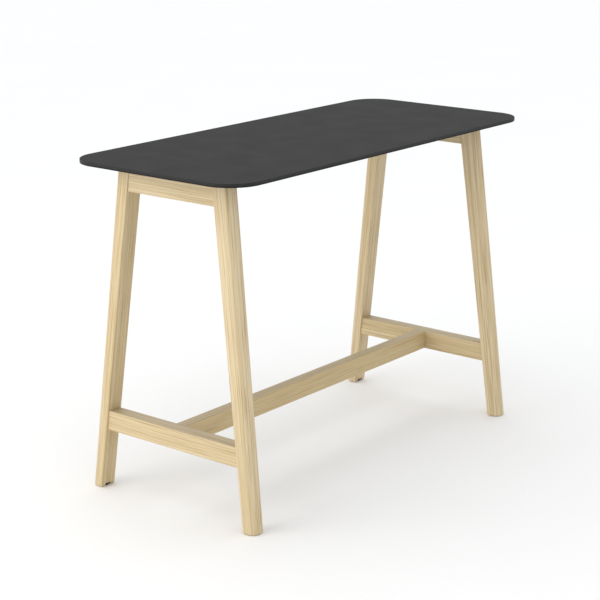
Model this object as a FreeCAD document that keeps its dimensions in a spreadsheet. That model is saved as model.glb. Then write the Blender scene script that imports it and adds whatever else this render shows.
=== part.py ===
import FreeCAD, Part
import math
import os
import Sketcher

# Standing meeting table: a thin compact-laminate top on two wooden A-frames, joined low down by one
# stretcher and under the top by two slim steel beams. Four glides level it.
# Frame: millimetres, +Z up, +X along the table, +Y across it, origin on the floor under its middle.
# "left" is -X, "front" is -Y.

doc = FreeCAD.newDocument("StandingMeetingTable")
sheet = doc.addObject("Spreadsheet::Sheet", "Sizes")


# ---------------------------------------------------------------------------------------------------
# Driving dimensions
# ---------------------------------------------------------------------------------------------------

sizes = {
    # the top
    "top_length": 1600,  # length of the top, along X
    "top_depth": 700,  # depth of the top, along Y
    "table_height": 1110,  # floor to upper face of the top
    "top_thickness": 12,  # compact laminate
    "top_corner_radius": 110,  # corner of the top, in plan
    "top_edge_break": 0.8,  # chamfer on both arrises of the top

    # the legs, which run straight from foot to head
    "head_set_in_x": 100,  # from the end of the top to the outer face of a leg's head
    "head_set_in_y": 123,  # from the side of the top to the outer face of a leg's head
    "head_width": 63,  # width of a leg at its head, along X
    "head_depth": 58,  # depth of a leg at its head, along Y
    "foot_splay_x": 31,  # how much further out the foot is than the head, along X
    "foot_splay_y": 125,  # how much further out the foot is than the head, along Y
    "foot_width": 60,  # width of a leg at its foot, along X
    "foot_depth": 46,  # depth of a leg at its foot, along Y
    "foot_gap": 1,  # floor to the foot of a leg, with its glide screwed in
    "leg_round": 26,  # radius of the two outer corners of a leg
    "wood_arris": 1.5,  # radius of every other long edge of the wood
    "foot_bevel": 4,  # bevel round the foot of a leg

    # the rails and the stretcher
    "upper_rail_drop": 87,  # height of an upper rail, from the underside of the top
    "upper_rail_thick": 60,  # thickness of an upper rail, along X
    "lower_rail_top": 273,  # floor to upper face of the lower rails and the stretcher
    "lower_rail_drop": 66,  # height of a lower rail
    "lower_rail_thick": 50,  # thickness of a lower rail, along X
    "stretcher_drop": 66,  # height of the stretcher
    "stretcher_wide": 40,  # width of the stretcher, along Y

    # the dowels
    "frame_dowel_radius": 6,  # dowels between legs and rails
    "frame_dowel_in_leg": 22,  # depth of a frame dowel in the leg
    "frame_dowel_in_rail": 32,  # depth of a frame dowel in the rail
    "upper_dowel_edge": 21.5,  # from the edge of an upper rail to the middle of a dowel
    "lower_dowel_edge": 16,  # from the edge of a lower rail to the middle of a dowel
    "stretcher_dowel_radius": 5,  # dowels between stretcher and lower rails
    "stretcher_dowel_reach": 25,  # depth of a stretcher dowel on each side of the joint
    "stretcher_dowel_edge": 12,  # from the edge of the stretcher to the middle of a dowel
    "glue_gap": 0.1,  # round a dowel, a sleeve or an insert in its hole
    "hole_spare": 1.5,  # from the end of a dowel or insert to the bottom of its hole

    # the fitting at each end of the stretcher
    "stud_radius": 4,  # threaded stud between rail and stretcher
    "stud_bore_gap": 0.5,  # round that stud in the end of the stretcher
    "rail_insert_wall": 2.4,  # wall of the threaded insert in the lower rail
    "rail_insert_length": 22,  # length of that insert
    "pocket_radius": 15,  # pocket under the stretcher for washer and nut
    "pocket_wall": 3.5,  # wood between that pocket and the stretcher's dowel holes
    "pocket_roof_gap": 2,  # above the half-moon washer in the pocket
    "washer_gap": 0.3,  # round the half-moon washer in the pocket
    "washer_thick": 5,  # half-moon washer, from its flat face to the back of its curve
    "washer_tall": 18,  # height of the half-moon washer
    "stud_nut_flats": 13,  # nut across its flats
    "stud_nut_thick": 6.5,  # thickness of that nut
    "stud_proud": 2,  # stud beyond its nut

    # the beams under the top
    "beam_set_in": 51,  # from the inner face of a leg's head to the middle of a beam
    "beam_wide": 30,  # width of a beam
    "beam_tall": 20,  # height of a beam
    "beam_wall": 2,  # wall of a beam
    "beam_inner_round": 1.5,  # radius of the corners inside a beam
    "plate_thick": 4,  # plate welded to each end of a beam
    "plate_margin": 9,  # of that plate on each side of the beam
    "plate_top_gap": 1,  # between that plate and the top
    "plate_hole_drop": 12,  # from the underside of a beam to the screws of its plates
    "plate_hole_up": 12,  # from the lower edge of a plate to its screws
    "plate_hole_edge": 13,  # from the side of a plate to its screws

    # machine screws and threaded inserts
    "screw_radius": 3,  # shank of every machine screw
    "screw_hole_gap": 0.3,  # round a shank in a hole that it passes through
    "thread_gap": 0.1,  # round a shank or stud in its thread
    "head_radius": 5.5,  # head of a machine screw
    "head_tall": 4,  # height of that head
    "hex_socket_flats": 4,  # hexagonal socket in that head
    "hex_socket_deep": 2.2,  # depth of that socket
    "insert_wall": 1.9,  # wall of the threaded inserts for machine screws
    "top_insert_cover": 3,  # laminate left above the holes for inserts
    "top_insert_spare": 0.5,  # from an insert in the top to the bottom of its hole
    "top_screw_wood": 30,  # wood of the upper rail under the head of a top screw
    "counterbore_gap": 2,  # round the head of that screw in its counterbore
    "rail_screw_spacing": 110,  # between the two top screws of an upper rail
    "beam_screw_set_in": 155,  # from the end of a beam to its first top screw
    "plate_insert_length": 15,  # threaded insert in an upper rail
    "plate_screw_short": 3,  # from the end of a plate's screw to the end of its insert

    # the levelling glides
    "glide_set_back": 15,  # middle of a glide behind the inner face of the foot
    "glide_radius": 11,  # base of a glide
    "glide_base_tall": 6.5,  # height of that base
    "glide_edge_round": 1,  # rounding of the base's edges
    "glide_socket_deep": 3.5,  # depth of the stud in the base
    "glide_socket_gap": 0.1,  # round and under the stud in the base
    "glide_collar_flats": 13,  # hexagonal collar of the stud, across its flats
    "glide_collar_tall": 3.5,  # height of that collar
    "glide_stud_radius": 4,  # stud of a glide
    "glide_sleeve_wall": 1.4,  # wall of the threaded sleeve in the leg
    "glide_sleeve_length": 22,  # length of that sleeve
    "glide_stud_beyond": 5,  # stud above its sleeve
    "glide_slot_gap": 2,  # round the base in the notch of the foot
    "glide_hole_spare": 4,  # hole above the stud
}
for row, (alias, number) in enumerate(sizes.items(), 1):
    sheet.set(f"A{row}", alias.replace("_", " "))
    sheet.set(f"B{row}", str(number))
    sheet.setAlias(f"B{row}", alias)
doc.recompute()


def value(expression):
    """The number that an expression has now."""
    return float(sheet.evalExpression(expression))


# ---------------------------------------------------------------------------------------------------
# Heights and faces that several pieces share, as expressions
# ---------------------------------------------------------------------------------------------------

HEAD_Z = "(Sizes.table_height - Sizes.top_thickness)"
FOOT_Z = "Sizes.foot_gap"
HEAD_OUT_X = "(Sizes.top_length / 2 - Sizes.head_set_in_x)"
HEAD_IN_X = f"({HEAD_OUT_X} - Sizes.head_width)"
HEAD_OUT_Y = "(Sizes.top_depth / 2 - Sizes.head_set_in_y)"
HEAD_IN_Y = f"({HEAD_OUT_Y} - Sizes.head_depth)"
FOOT_OUT_X = f"({HEAD_OUT_X} + Sizes.foot_splay_x)"
FOOT_IN_X = f"({FOOT_OUT_X} - Sizes.foot_width)"
FOOT_OUT_Y = f"({HEAD_OUT_Y} + Sizes.foot_splay_y)"
FOOT_IN_Y = f"({FOOT_OUT_Y} - Sizes.foot_depth)"


def between(foot, head, height):
    """A size of the leg at a height: straight from the foot to the head."""
    return f"({foot} + ({head} - {foot}) * (({height}) - {FOOT_Z}) / ({HEAD_Z} - {FOOT_Z}))"


def leg_in_y(height):
    return between(FOOT_IN_Y, HEAD_IN_Y, height)


def leg_out_y(height):
    return between(FOOT_OUT_Y, HEAD_OUT_Y, height)


def leg_in_x(height):
    return between(FOOT_IN_X, HEAD_IN_X, height)


def leg_out_x(height):
    return between(FOOT_OUT_X, HEAD_OUT_X, height)


def leg_middle_x(height):
    return f"(({leg_in_x(height)} + {leg_out_x(height)}) / 2)"


def minus(expression):
    return f"(0 - ({expression}))"


def times(sign, expression):
    """The expression, on the positive or the negative side of the table."""
    return expression if sign > 0 else minus(expression)


UPPER_RAIL_LOW = f"({HEAD_Z} - Sizes.upper_rail_drop)"
UPPER_RAIL_X = leg_middle_x(HEAD_Z)
UPPER_RAIL_IN_X = f"({UPPER_RAIL_X} - Sizes.upper_rail_thick / 2)"
LOWER_RAIL_LOW = "(Sizes.lower_rail_top - Sizes.lower_rail_drop)"
LOWER_RAIL_X = leg_middle_x("(Sizes.lower_rail_top - Sizes.lower_rail_drop / 2)")
LOWER_RAIL_IN_X = f"({LOWER_RAIL_X} - Sizes.lower_rail_thick / 2)"
STRETCHER_LOW = "(Sizes.lower_rail_top - Sizes.stretcher_drop)"
SHARED_DROP = "min(Sizes.lower_rail_drop; Sizes.stretcher_drop)"
STUD_Z = f"(Sizes.lower_rail_top - {SHARED_DROP} / 2)"
BEAM_Y = f"({HEAD_IN_Y} - Sizes.beam_set_in)"
BEAM_LOW = f"({HEAD_Z} - Sizes.beam_tall)"
BEAM_END_X = f"({UPPER_RAIL_IN_X} - Sizes.plate_thick)"
PLATE_WIDE = "(Sizes.beam_wide + 2 * Sizes.plate_margin)"
PLATE_HOLE_Z = f"({BEAM_LOW} - Sizes.plate_hole_drop)"
PLATE_LOW = f"({PLATE_HOLE_Z} - Sizes.plate_hole_up)"
SCREW_HOLE = "(Sizes.screw_radius + Sizes.screw_hole_gap)"
SCREW_THREAD = "(Sizes.screw_radius + Sizes.thread_gap)"
INSERT_RADIUS = f"({SCREW_THREAD} + Sizes.insert_wall)"
TOP_INSERT_LENGTH = "(Sizes.top_thickness - Sizes.top_insert_cover - Sizes.top_insert_spare)"
STUD_THREAD = "(Sizes.stud_radius + Sizes.thread_gap)"
STUD_BORE = "(Sizes.stud_radius + Sizes.stud_bore_gap)"
RAIL_INSERT_RADIUS = f"({STUD_THREAD} + Sizes.rail_insert_wall)"
GLIDE_THREAD = "(Sizes.glide_stud_radius + Sizes.thread_gap)"
GLIDE_SLEEVE_RADIUS = f"({GLIDE_THREAD} + Sizes.glide_sleeve_wall)"
SLOT_ROOF = "(Sizes.glide_base_tall + Sizes.glide_collar_tall)"
GLIDE_STUD_TOP = f"({SLOT_ROOF} + Sizes.glide_sleeve_length + Sizes.glide_stud_beyond)"
GLIDE_X = leg_middle_x(FOOT_Z)
GLIDE_Y = f"({FOOT_IN_Y} + Sizes.glide_set_back)"

UP = FreeCAD.Vector(0, 0, 1)
ALONG_X = FreeCAD.Vector(1, 0, 0)


# ---------------------------------------------------------------------------------------------------
# Tools for modelling
# ---------------------------------------------------------------------------------------------------

def place(thing, x, y, z):
    """Bind where a thing stands."""
    thing.setExpression("Placement.Base.x", x)
    thing.setExpression("Placement.Base.y", y)
    thing.setExpression("Placement.Base.z", z)


def cylinder(name, radius, length, at, direction=UP):
    """A cylinder from a point along a direction."""
    rod = doc.addObject("Part::Cylinder", name)
    rod.setExpression("Radius", radius)
    rod.setExpression("Height", length)
    rod.Placement = FreeCAD.Placement(FreeCAD.Vector(), FreeCAD.Rotation(UP, direction))
    place(rod, *at)
    return rod


def hexagon(name, flats, length, at, direction=UP):
    """A hexagonal bar, sized across its flats."""
    bar = doc.addObject("Part::Prism", name)
    bar.Polygon = 6
    bar.setExpression("Circumradius", f"{flats} / 2 / cos(30)")
    bar.setExpression("Height", length)
    bar.Placement = FreeCAD.Placement(FreeCAD.Vector(), FreeCAD.Rotation(UP, direction))
    place(bar, *at)
    return bar


def box(name, length, width, height, at):
    """A box from its lowest corner."""
    block = doc.addObject("Part::Box", name)
    block.setExpression("Length", length)
    block.setExpression("Width", width)
    block.setExpression("Height", height)
    place(block, *at)
    return block


def group(name, things):
    """Separate solids that share one node."""
    together = doc.addObject("Part::Compound", name)
    together.Links = things
    return together


def cut(name, base, tools):
    """A base less one or more tools."""
    result = doc.addObject("Part::Cut", name)
    result.Base = base
    result.Tool = tools[0] if len(tools) == 1 else fuse(f"{name}_tools", tools)
    return result


def fuse(name, things):
    """Things joined into one solid."""
    result = doc.addObject("Part::MultiFuse", name)
    result.Shapes = things
    return result


def origin_plane(body, role):
    return [part for part in body.Origin.OriginFeatures if part.Role == role][0]


def sketch_on(body, name, role, offset=None):
    """A sketch on one of the body's own planes, moved along its normal."""
    sketch = body.newObject("Sketcher::SketchObject", name)
    sketch.AttachmentSupport = (origin_plane(body, role), [""])
    sketch.MapMode = "FlatFace"
    if offset is not None:
        sketch.setExpression("AttachmentOffset.Base.z", offset)
    return sketch


def pin_down(sketch, kind, geometry, point, expression):
    """Hold one end of a line at a bound distance from the sketch's origin."""
    number = sketch.addConstraint(Sketcher.Constraint(kind, -1, 1, geometry, point, value(expression)))
    sketch.setExpression(f"Constraints[{number}]", expression)


def rounded_box(sketch, left, right, low, high, low_radius, high_radius):
    """A rectangle with one radius on its two low corners and another on its two high ones."""
    x1, x2, y1, y2 = value(left), value(right), value(low), value(high)
    r1, r2 = value(low_radius), value(high_radius)
    corners = [  # centre of each corner's arc, its radius and the angle where it starts
        (x2 - r1, y1 + r1, r1, -90, low_radius),
        (x2 - r2, y2 - r2, r2, 0, high_radius),
        (x1 + r2, y2 - r2, r2, 90, high_radius),
        (x1 + r1, y1 + r1, r1, 180, low_radius),
    ]
    ends = [
        ((x1 + r1, y1), (x2 - r1, y1)),
        ((x2, y1 + r1), (x2, y2 - r2)),
        ((x2 - r2, y2), (x1 + r2, y2)),
        ((x1, y2 - r2), (x1, y1 + r1)),
    ]
    for start, end in ends:
        sketch.addGeometry(Part.LineSegment(FreeCAD.Vector(*start, 0), FreeCAD.Vector(*end, 0)), False)
    for x, y, radius, start, _ in corners:
        circle = Part.Circle(FreeCAD.Vector(x, y, 0), UP, radius)
        arc = Part.ArcOfCircle(circle, math.radians(start), math.radians(start + 90))
        sketch.addGeometry(arc, False)
    for side in range(4):
        arc = 4 + side
        following = (side + 1) % 4
        sketch.addConstraint(Sketcher.Constraint("Tangent", side, 2, arc, 1))
        sketch.addConstraint(Sketcher.Constraint("Tangent", arc, 2, following, 1))
    for side in (0, 2):
        sketch.addConstraint(Sketcher.Constraint("Horizontal", side))
    for side in (1, 3):
        sketch.addConstraint(Sketcher.Constraint("Vertical", side))
    for side in range(4):
        radius = corners[side][2]
        number = sketch.addConstraint(Sketcher.Constraint("Radius", 4 + side, radius))
        sketch.setExpression(f"Constraints[{number}]", corners[side][4])
    pin_down(sketch, "DistanceY", 0, 1, low)
    pin_down(sketch, "DistanceX", 1, 1, right)
    pin_down(sketch, "DistanceY", 2, 1, high)
    pin_down(sketch, "DistanceX", 3, 1, left)


def polygon(sketch, corners):
    """A closed outline through corners, each an (x, y) pair of expressions."""
    points = [FreeCAD.Vector(value(x), value(y), 0) for x, y in corners]
    count = len(points)
    for number in range(count):
        line = Part.LineSegment(points[number], points[(number + 1) % count])
        sketch.addGeometry(line, False)
    for number in range(count):
        following = (number + 1) % count
        sketch.addConstraint(Sketcher.Constraint("Coincident", number, 2, following, 1))
    for number, (x, y) in enumerate(corners):
        pin_down(sketch, "DistanceX", number, 1, x)
        pin_down(sketch, "DistanceY", number, 1, y)


def pad(body, sketch, length, both_ways=False):
    """Pad a sketch along its normal, or half of the length each way."""
    feature = body.newObject("PartDesign::Pad", f"{body.Name}_pad")
    feature.Profile = sketch
    feature.setExpression("Length", length)
    feature.Midplane = both_ways
    sketch.Visibility = False
    return feature


# ---------------------------------------------------------------------------------------------------
# The top
# ---------------------------------------------------------------------------------------------------

def rail_screw_spots():
    """Where the upper rails are screwed to the top: two on each rail."""
    return [
        (times(side, UPPER_RAIL_X), times(row, "Sizes.rail_screw_spacing / 2"))
        for side in (-1, 1)
        for row in (-1, 1)
    ]


def beam_screw_spots():
    """Where the beams are screwed to the top: three on each beam."""
    return [
        (f"({step} * ({BEAM_END_X} - Sizes.beam_screw_set_in))", times(side, BEAM_Y))
        for side in (-1, 1)
        for step in (-1, 0, 1)
    ]


def make_tabletop():
    """The top: a board with rounded corners, its arrises broken, and blind holes for its inserts."""
    body = doc.addObject("PartDesign::Body", "TopBoard")
    outline = sketch_on(body, "TopOutline", "XY_Plane", HEAD_Z)
    half_length = "(Sizes.top_length / 2)"
    half_depth = "(Sizes.top_depth / 2)"
    rounded_box(outline, minus(half_length), half_length, minus(half_depth), half_depth,
                "Sizes.top_corner_radius", "Sizes.top_corner_radius")
    board = pad(body, outline, "Sizes.top_thickness")
    doc.recompute()
    rims = [
        f"Edge{number}"
        for number, edge in enumerate(board.Shape.Edges, 1)
        if edge.BoundBox.ZLength < 1e-6
    ]
    broken = body.newObject("PartDesign::Chamfer", "TopArrises")
    broken.Base = (board, rims)
    broken.setExpression("Size", "Sizes.top_edge_break")
    holes = [
        cylinder(f"TopHole{number}", f"{INSERT_RADIUS} + Sizes.glue_gap",
                 f"{TOP_INSERT_LENGTH} + Sizes.top_insert_spare", (x, y, HEAD_Z))
        for number, (x, y) in enumerate(rail_screw_spots() + beam_screw_spots(), 1)
    ]
    return cut("tabletop", body, holes)


# ---------------------------------------------------------------------------------------------------
# The legs
# ---------------------------------------------------------------------------------------------------

def leg_section(body, name, height, side_x, side_y, inset):
    """The outline of a leg at a height, drawn in from its faces by an inset."""
    near_x = f"({leg_in_x(height)} + {inset})"
    far_x = f"({leg_out_x(height)} - {inset})"
    near_y = f"({leg_in_y(height)} + {inset})"
    far_y = f"({leg_out_y(height)} - {inset})"
    round_out = f"(Sizes.leg_round - {inset})"
    round_in = "Sizes.wood_arris"
    sketch = sketch_on(body, name, "XY_Plane", height)
    left, right = (near_x, far_x) if side_x > 0 else (minus(far_x), minus(near_x))
    if side_y > 0:
        rounded_box(sketch, left, right, near_y, far_y, round_in, round_out)
    else:
        rounded_box(sketch, left, right, minus(far_y), minus(near_y), round_out, round_in)
    return sketch


def upper_dowel_heights():
    return [f"({UPPER_RAIL_LOW} + Sizes.upper_dowel_edge)", f"({HEAD_Z} - Sizes.upper_dowel_edge)"]


def lower_dowel_heights():
    return [f"({LOWER_RAIL_LOW} + Sizes.lower_dowel_edge)", "(Sizes.lower_rail_top - Sizes.lower_dowel_edge)"]


def make_leg(name, side_x, side_y):
    """A leg: lofted from its bevelled foot to its head, with dowel holes and the place of its glide."""
    body = doc.addObject("PartDesign::Body", f"{name}_blank")
    bevel_top = f"({FOOT_Z} + Sizes.foot_bevel)"
    sections = [
        leg_section(body, f"{name}_sole", FOOT_Z, side_x, side_y, "Sizes.foot_bevel"),
        leg_section(body, f"{name}_ankle", bevel_top, side_x, side_y, "0"),
        leg_section(body, f"{name}_head", HEAD_Z, side_x, side_y, "0"),
    ]
    loft = body.newObject("PartDesign::AdditiveLoft", f"{name}_loft")
    loft.Profile = sections[0]
    loft.Sections = sections[1:]
    loft.Ruled = True
    x = times(side_x, GLIDE_X)
    y = times(side_y, GLIDE_Y)
    outward = FreeCAD.Vector(0, side_y, 0)
    slot_radius = "(Sizes.glide_radius + Sizes.glide_slot_gap)"
    slot_y = "0" if side_y > 0 else minus(GLIDE_Y)
    tools = [
        cylinder(f"{name}_notch_end", slot_radius, SLOT_ROOF, (x, y, "0")),
        box(f"{name}_notch", f"2 * {slot_radius}", GLIDE_Y, SLOT_ROOF, (f"{x} - {slot_radius}", slot_y, "0")),
        cylinder(f"{name}_sleeve_hole", f"{GLIDE_SLEEVE_RADIUS} + Sizes.glue_gap",
                 f"{GLIDE_STUD_TOP} + Sizes.glide_hole_spare", (x, y, "0")),
    ]
    dowels = [(height, UPPER_RAIL_X) for height in upper_dowel_heights()]
    dowels += [(height, LOWER_RAIL_X) for height in lower_dowel_heights()]
    for number, (height, rail_x) in enumerate(dowels, 1):
        depth = f"{leg_in_y(height)} + Sizes.frame_dowel_in_leg + Sizes.hole_spare"
        tools.append(cylinder(f"{name}_dowel_hole{number}", "Sizes.frame_dowel_radius + Sizes.glue_gap",
                              depth, (times(side_x, rail_x), "0", height), outward))
    return cut(name, body, tools)


# ---------------------------------------------------------------------------------------------------
# The rails
# ---------------------------------------------------------------------------------------------------

def make_rail(name, side_x, middle_x, thick, low, high, heights, more_tools):
    """A rail: a board with eased edges, its ends cut to the slope of the legs, drilled for dowels."""
    body = doc.addObject("PartDesign::Body", f"{name}_blank")
    section = sketch_on(body, f"{name}_section", "XZ_Plane")
    x = times(side_x, middle_x)
    rounded_box(section, f"({x} - {thick} / 2)", f"({x} + {thick} / 2)", low, high,
                "Sizes.wood_arris", "Sizes.wood_arris")
    board = pad(body, section, f"2 * {leg_in_y(low)}", both_ways=True)
    trim = sketch_on(body, f"{name}_trim", "YZ_Plane")
    beyond = f"({leg_in_y(low)} + {thick})"
    polygon(trim, [(leg_in_y(low), low), (beyond, low), (beyond, high), (leg_in_y(high), high)])
    doc.recompute()
    sloped = body.newObject("PartDesign::Pocket", f"{name}_slope")
    sloped.Profile = trim
    sloped.Type = "ThroughAll"
    sloped.Midplane = True
    doc.recompute()
    mirrored = body.newObject("PartDesign::Mirrored", f"{name}_slopes")
    mirrored.Originals = [sloped]
    mirrored.MirrorPlane = (origin_plane(body, "XZ_Plane"), [""])
    body.Tip = mirrored
    trim.Visibility = False
    doc.recompute()
    assert mirrored.Shape.Volume < sloped.Shape.Volume < board.Shape.Volume, f"{name} is not trimmed"
    tools = []
    for number, height in enumerate(heights, 1):
        for side_y in (-1, 1):
            depth = "(Sizes.frame_dowel_in_rail + Sizes.hole_spare)"
            start = f"({leg_in_y(height)} - {depth})"
            tools.append(cylinder(f"{name}_dowel_hole{number}_{side_y + 1}",
                                  "Sizes.frame_dowel_radius + Sizes.glue_gap", f"{depth} + {thick}",
                                  (x, times(side_y, start), height), FreeCAD.Vector(0, side_y, 0)))
    return cut(name, body, tools + more_tools)


def make_upper_rail(name, side_x):
    """An upper rail, with counterbored holes up to the top and holes for the beams' inserts."""
    x = times(side_x, UPPER_RAIL_X)
    inner_face = times(side_x, UPPER_RAIL_IN_X)
    outward = FreeCAD.Vector(side_x, 0, 0)
    seat = "(Sizes.upper_rail_drop - Sizes.top_screw_wood)"
    tools = []
    for side_y in (-1, 1):
        y = times(side_y, "Sizes.rail_screw_spacing / 2")
        tag = f"{name}_{side_y + 1}"
        tools.append(cylinder(f"{tag}_shank", SCREW_HOLE, "Sizes.upper_rail_drop", (x, y, UPPER_RAIL_LOW)))
        tools.append(cylinder(f"{tag}_counterbore", "Sizes.head_radius + Sizes.counterbore_gap", seat,
                              (x, y, UPPER_RAIL_LOW)))
        for number, hole_y in enumerate(plate_hole_ys(side_y)):
            tools.append(cylinder(f"{tag}_insert{number}", f"{INSERT_RADIUS} + Sizes.glue_gap",
                                  "Sizes.plate_insert_length + Sizes.hole_spare",
                                  (inner_face, hole_y, PLATE_HOLE_Z), outward))
    return make_rail(name, side_x, UPPER_RAIL_X, "Sizes.upper_rail_thick", UPPER_RAIL_LOW, HEAD_Z,
                     upper_dowel_heights(), tools)


def stretcher_dowel_heights():
    low = f"(Sizes.lower_rail_top - {SHARED_DROP} + Sizes.stretcher_dowel_edge)"
    return [low, "(Sizes.lower_rail_top - Sizes.stretcher_dowel_edge)"]


def make_lower_rail(name, side_x):
    """A lower rail, drilled on its inner face for the stretcher's dowels and its insert."""
    inner_face = times(side_x, LOWER_RAIL_IN_X)
    outward = FreeCAD.Vector(side_x, 0, 0)
    tools = [
        cylinder(f"{name}_insert_hole", f"{RAIL_INSERT_RADIUS} + Sizes.glue_gap",
                 "Sizes.rail_insert_length + Sizes.hole_spare", (inner_face, "0", STUD_Z), outward)
    ]
    for number, height in enumerate(stretcher_dowel_heights(), 1):
        tools.append(cylinder(f"{name}_stretcher_hole{number}",
                              "Sizes.stretcher_dowel_radius + Sizes.glue_gap",
                              "Sizes.stretcher_dowel_reach + Sizes.hole_spare",
                              (inner_face, "0", height), outward))
    return make_rail(name, side_x, LOWER_RAIL_X, "Sizes.lower_rail_thick", LOWER_RAIL_LOW,
                     "Sizes.lower_rail_top", lower_dowel_heights(), tools)


# ---------------------------------------------------------------------------------------------------
# The stretcher and its fittings
# ---------------------------------------------------------------------------------------------------

POCKET_SET_IN = "(Sizes.stretcher_dowel_reach + Sizes.hole_spare + Sizes.pocket_wall + Sizes.pocket_radius)"
POCKET_X = f"({LOWER_RAIL_IN_X} - {POCKET_SET_IN})"
POCKET_TOP = f"({STUD_Z} + Sizes.washer_tall / 2 + Sizes.pocket_roof_gap)"
WASHER_FLAT_X = f"({POCKET_X} + Sizes.pocket_radius - Sizes.washer_gap - Sizes.washer_thick)"


def make_stretcher():
    """The stretcher: drilled in both ends for dowels and stud, with a pocket under each end."""
    body = doc.addObject("PartDesign::Body", "StretcherBlank")
    section = sketch_on(body, "StretcherSection", "YZ_Plane")
    half_wide = "(Sizes.stretcher_wide / 2)"
    rounded_box(section, minus(half_wide), half_wide, STRETCHER_LOW, "Sizes.lower_rail_top",
                "Sizes.wood_arris", "Sizes.wood_arris")
    pad(body, section, f"2 * {LOWER_RAIL_IN_X}", both_ways=True)
    tools = []
    for side_x in (-1, 1):
        end = times(side_x, LOWER_RAIL_IN_X)
        inward = FreeCAD.Vector(-side_x, 0, 0)
        tag = f"StretcherEnd{side_x + 1}"
        tools.append(cylinder(f"{tag}_pocket", "Sizes.pocket_radius", f"{POCKET_TOP} - {STRETCHER_LOW}",
                              (times(side_x, POCKET_X), "0", STRETCHER_LOW)))
        tools.append(cylinder(f"{tag}_bore", STUD_BORE, POCKET_SET_IN, (end, "0", STUD_Z), inward))
        for number, height in enumerate(stretcher_dowel_heights(), 1):
            tools.append(cylinder(f"{tag}_dowel_hole{number}",
                                  "Sizes.stretcher_dowel_radius + Sizes.glue_gap",
                                  "Sizes.stretcher_dowel_reach + Sizes.hole_spare",
                                  (end, "0", height), inward))
    return cut("stretcher", body, tools)


def make_frame_dowels(name, side_x, rail_x, heights):
    """The four dowels between one rail and its two legs."""
    dowels = []
    length = "(Sizes.frame_dowel_in_leg + Sizes.frame_dowel_in_rail)"
    for number, height in enumerate(heights, 1):
        start = f"({leg_in_y(height)} - Sizes.frame_dowel_in_rail)"
        for side_y in (-1, 1):
            dowels.append(cylinder(f"{name}_{number}_{side_y + 1}", "Sizes.frame_dowel_radius", length,
                                   (times(side_x, rail_x), times(side_y, start), height),
                                   FreeCAD.Vector(0, side_y, 0)))
    return group(name, dowels)


def make_stretcher_dowels(name, side_x):
    """The two dowels between the stretcher and one lower rail."""
    start = f"({LOWER_RAIL_IN_X} - Sizes.stretcher_dowel_reach)"
    return group(name, [
        cylinder(f"{name}_{number}", "Sizes.stretcher_dowel_radius", "2 * Sizes.stretcher_dowel_reach",
                 (times(side_x, start), "0", height), FreeCAD.Vector(side_x, 0, 0))
        for number, height in enumerate(stretcher_dowel_heights(), 1)
    ])


def make_stretcher_insert(name, side_x):
    """The threaded insert in a lower rail, flush with its inner face."""
    at = (times(side_x, LOWER_RAIL_IN_X), "0", STUD_Z)
    outward = FreeCAD.Vector(side_x, 0, 0)
    plug = cylinder(f"{name}_outside", RAIL_INSERT_RADIUS, "Sizes.rail_insert_length", at, outward)
    bore = cylinder(f"{name}_bore", STUD_THREAD, "Sizes.rail_insert_length", at, outward)
    return cut(name, plug, [bore])


def make_stretcher_stud(name, side_x):
    """The stud, from beyond its nut in the pocket to near the end of its insert."""
    start = f"({WASHER_FLAT_X} - Sizes.stud_nut_thick - Sizes.stud_proud)"
    end = f"({LOWER_RAIL_IN_X} + Sizes.rail_insert_length - Sizes.hole_spare)"
    return cylinder(name, "Sizes.stud_radius", f"{end} - {start}",
                    (times(side_x, start), "0", STUD_Z), FreeCAD.Vector(side_x, 0, 0))


def make_half_moon(name, side_x):
    """The half-moon washer: its curve lies against the pocket's wall, its flat face takes the nut."""
    low = f"({STUD_Z} - Sizes.washer_tall / 2)"
    round_part = cylinder(f"{name}_round", "Sizes.pocket_radius - Sizes.washer_gap", "Sizes.washer_tall",
                          (times(side_x, POCKET_X), "0", low))
    wide = "(2 * Sizes.pocket_radius)"
    start = WASHER_FLAT_X if side_x > 0 else f"({minus(WASHER_FLAT_X)} - {wide})"
    slab = box(f"{name}_slab", wide, wide, "Sizes.washer_tall", (start, "0 - Sizes.pocket_radius", low))
    segment = doc.addObject("Part::Common", f"{name}_segment")
    segment.Base = round_part
    segment.Tool = slab
    bore = cylinder(f"{name}_bore", STUD_BORE, wide, (times(side_x, POCKET_X), "0", STUD_Z),
                    FreeCAD.Vector(side_x, 0, 0))
    return cut(name, segment, [bore])


def make_stud_nut(name, side_x):
    """The nut on the stud, tight against the flat of the half-moon washer."""
    at = (times(side_x, WASHER_FLAT_X), "0", STUD_Z)
    inward = FreeCAD.Vector(-side_x, 0, 0)
    outside = hexagon(f"{name}_outside", "Sizes.stud_nut_flats", "Sizes.stud_nut_thick", at, inward)
    bore = cylinder(f"{name}_bore", STUD_THREAD, "Sizes.stud_nut_thick", at, inward)
    return cut(name, outside, [bore])


# ---------------------------------------------------------------------------------------------------
# The beams under the top
# ---------------------------------------------------------------------------------------------------

def plate_hole_ys(side_y):
    """Where the two screws of a beam's end plate are, across the table."""
    middle = times(side_y, BEAM_Y)
    return [f"({middle} + {turn} * ({PLATE_WIDE} / 2 - Sizes.plate_hole_edge))" for turn in (-1, 1)]


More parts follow.
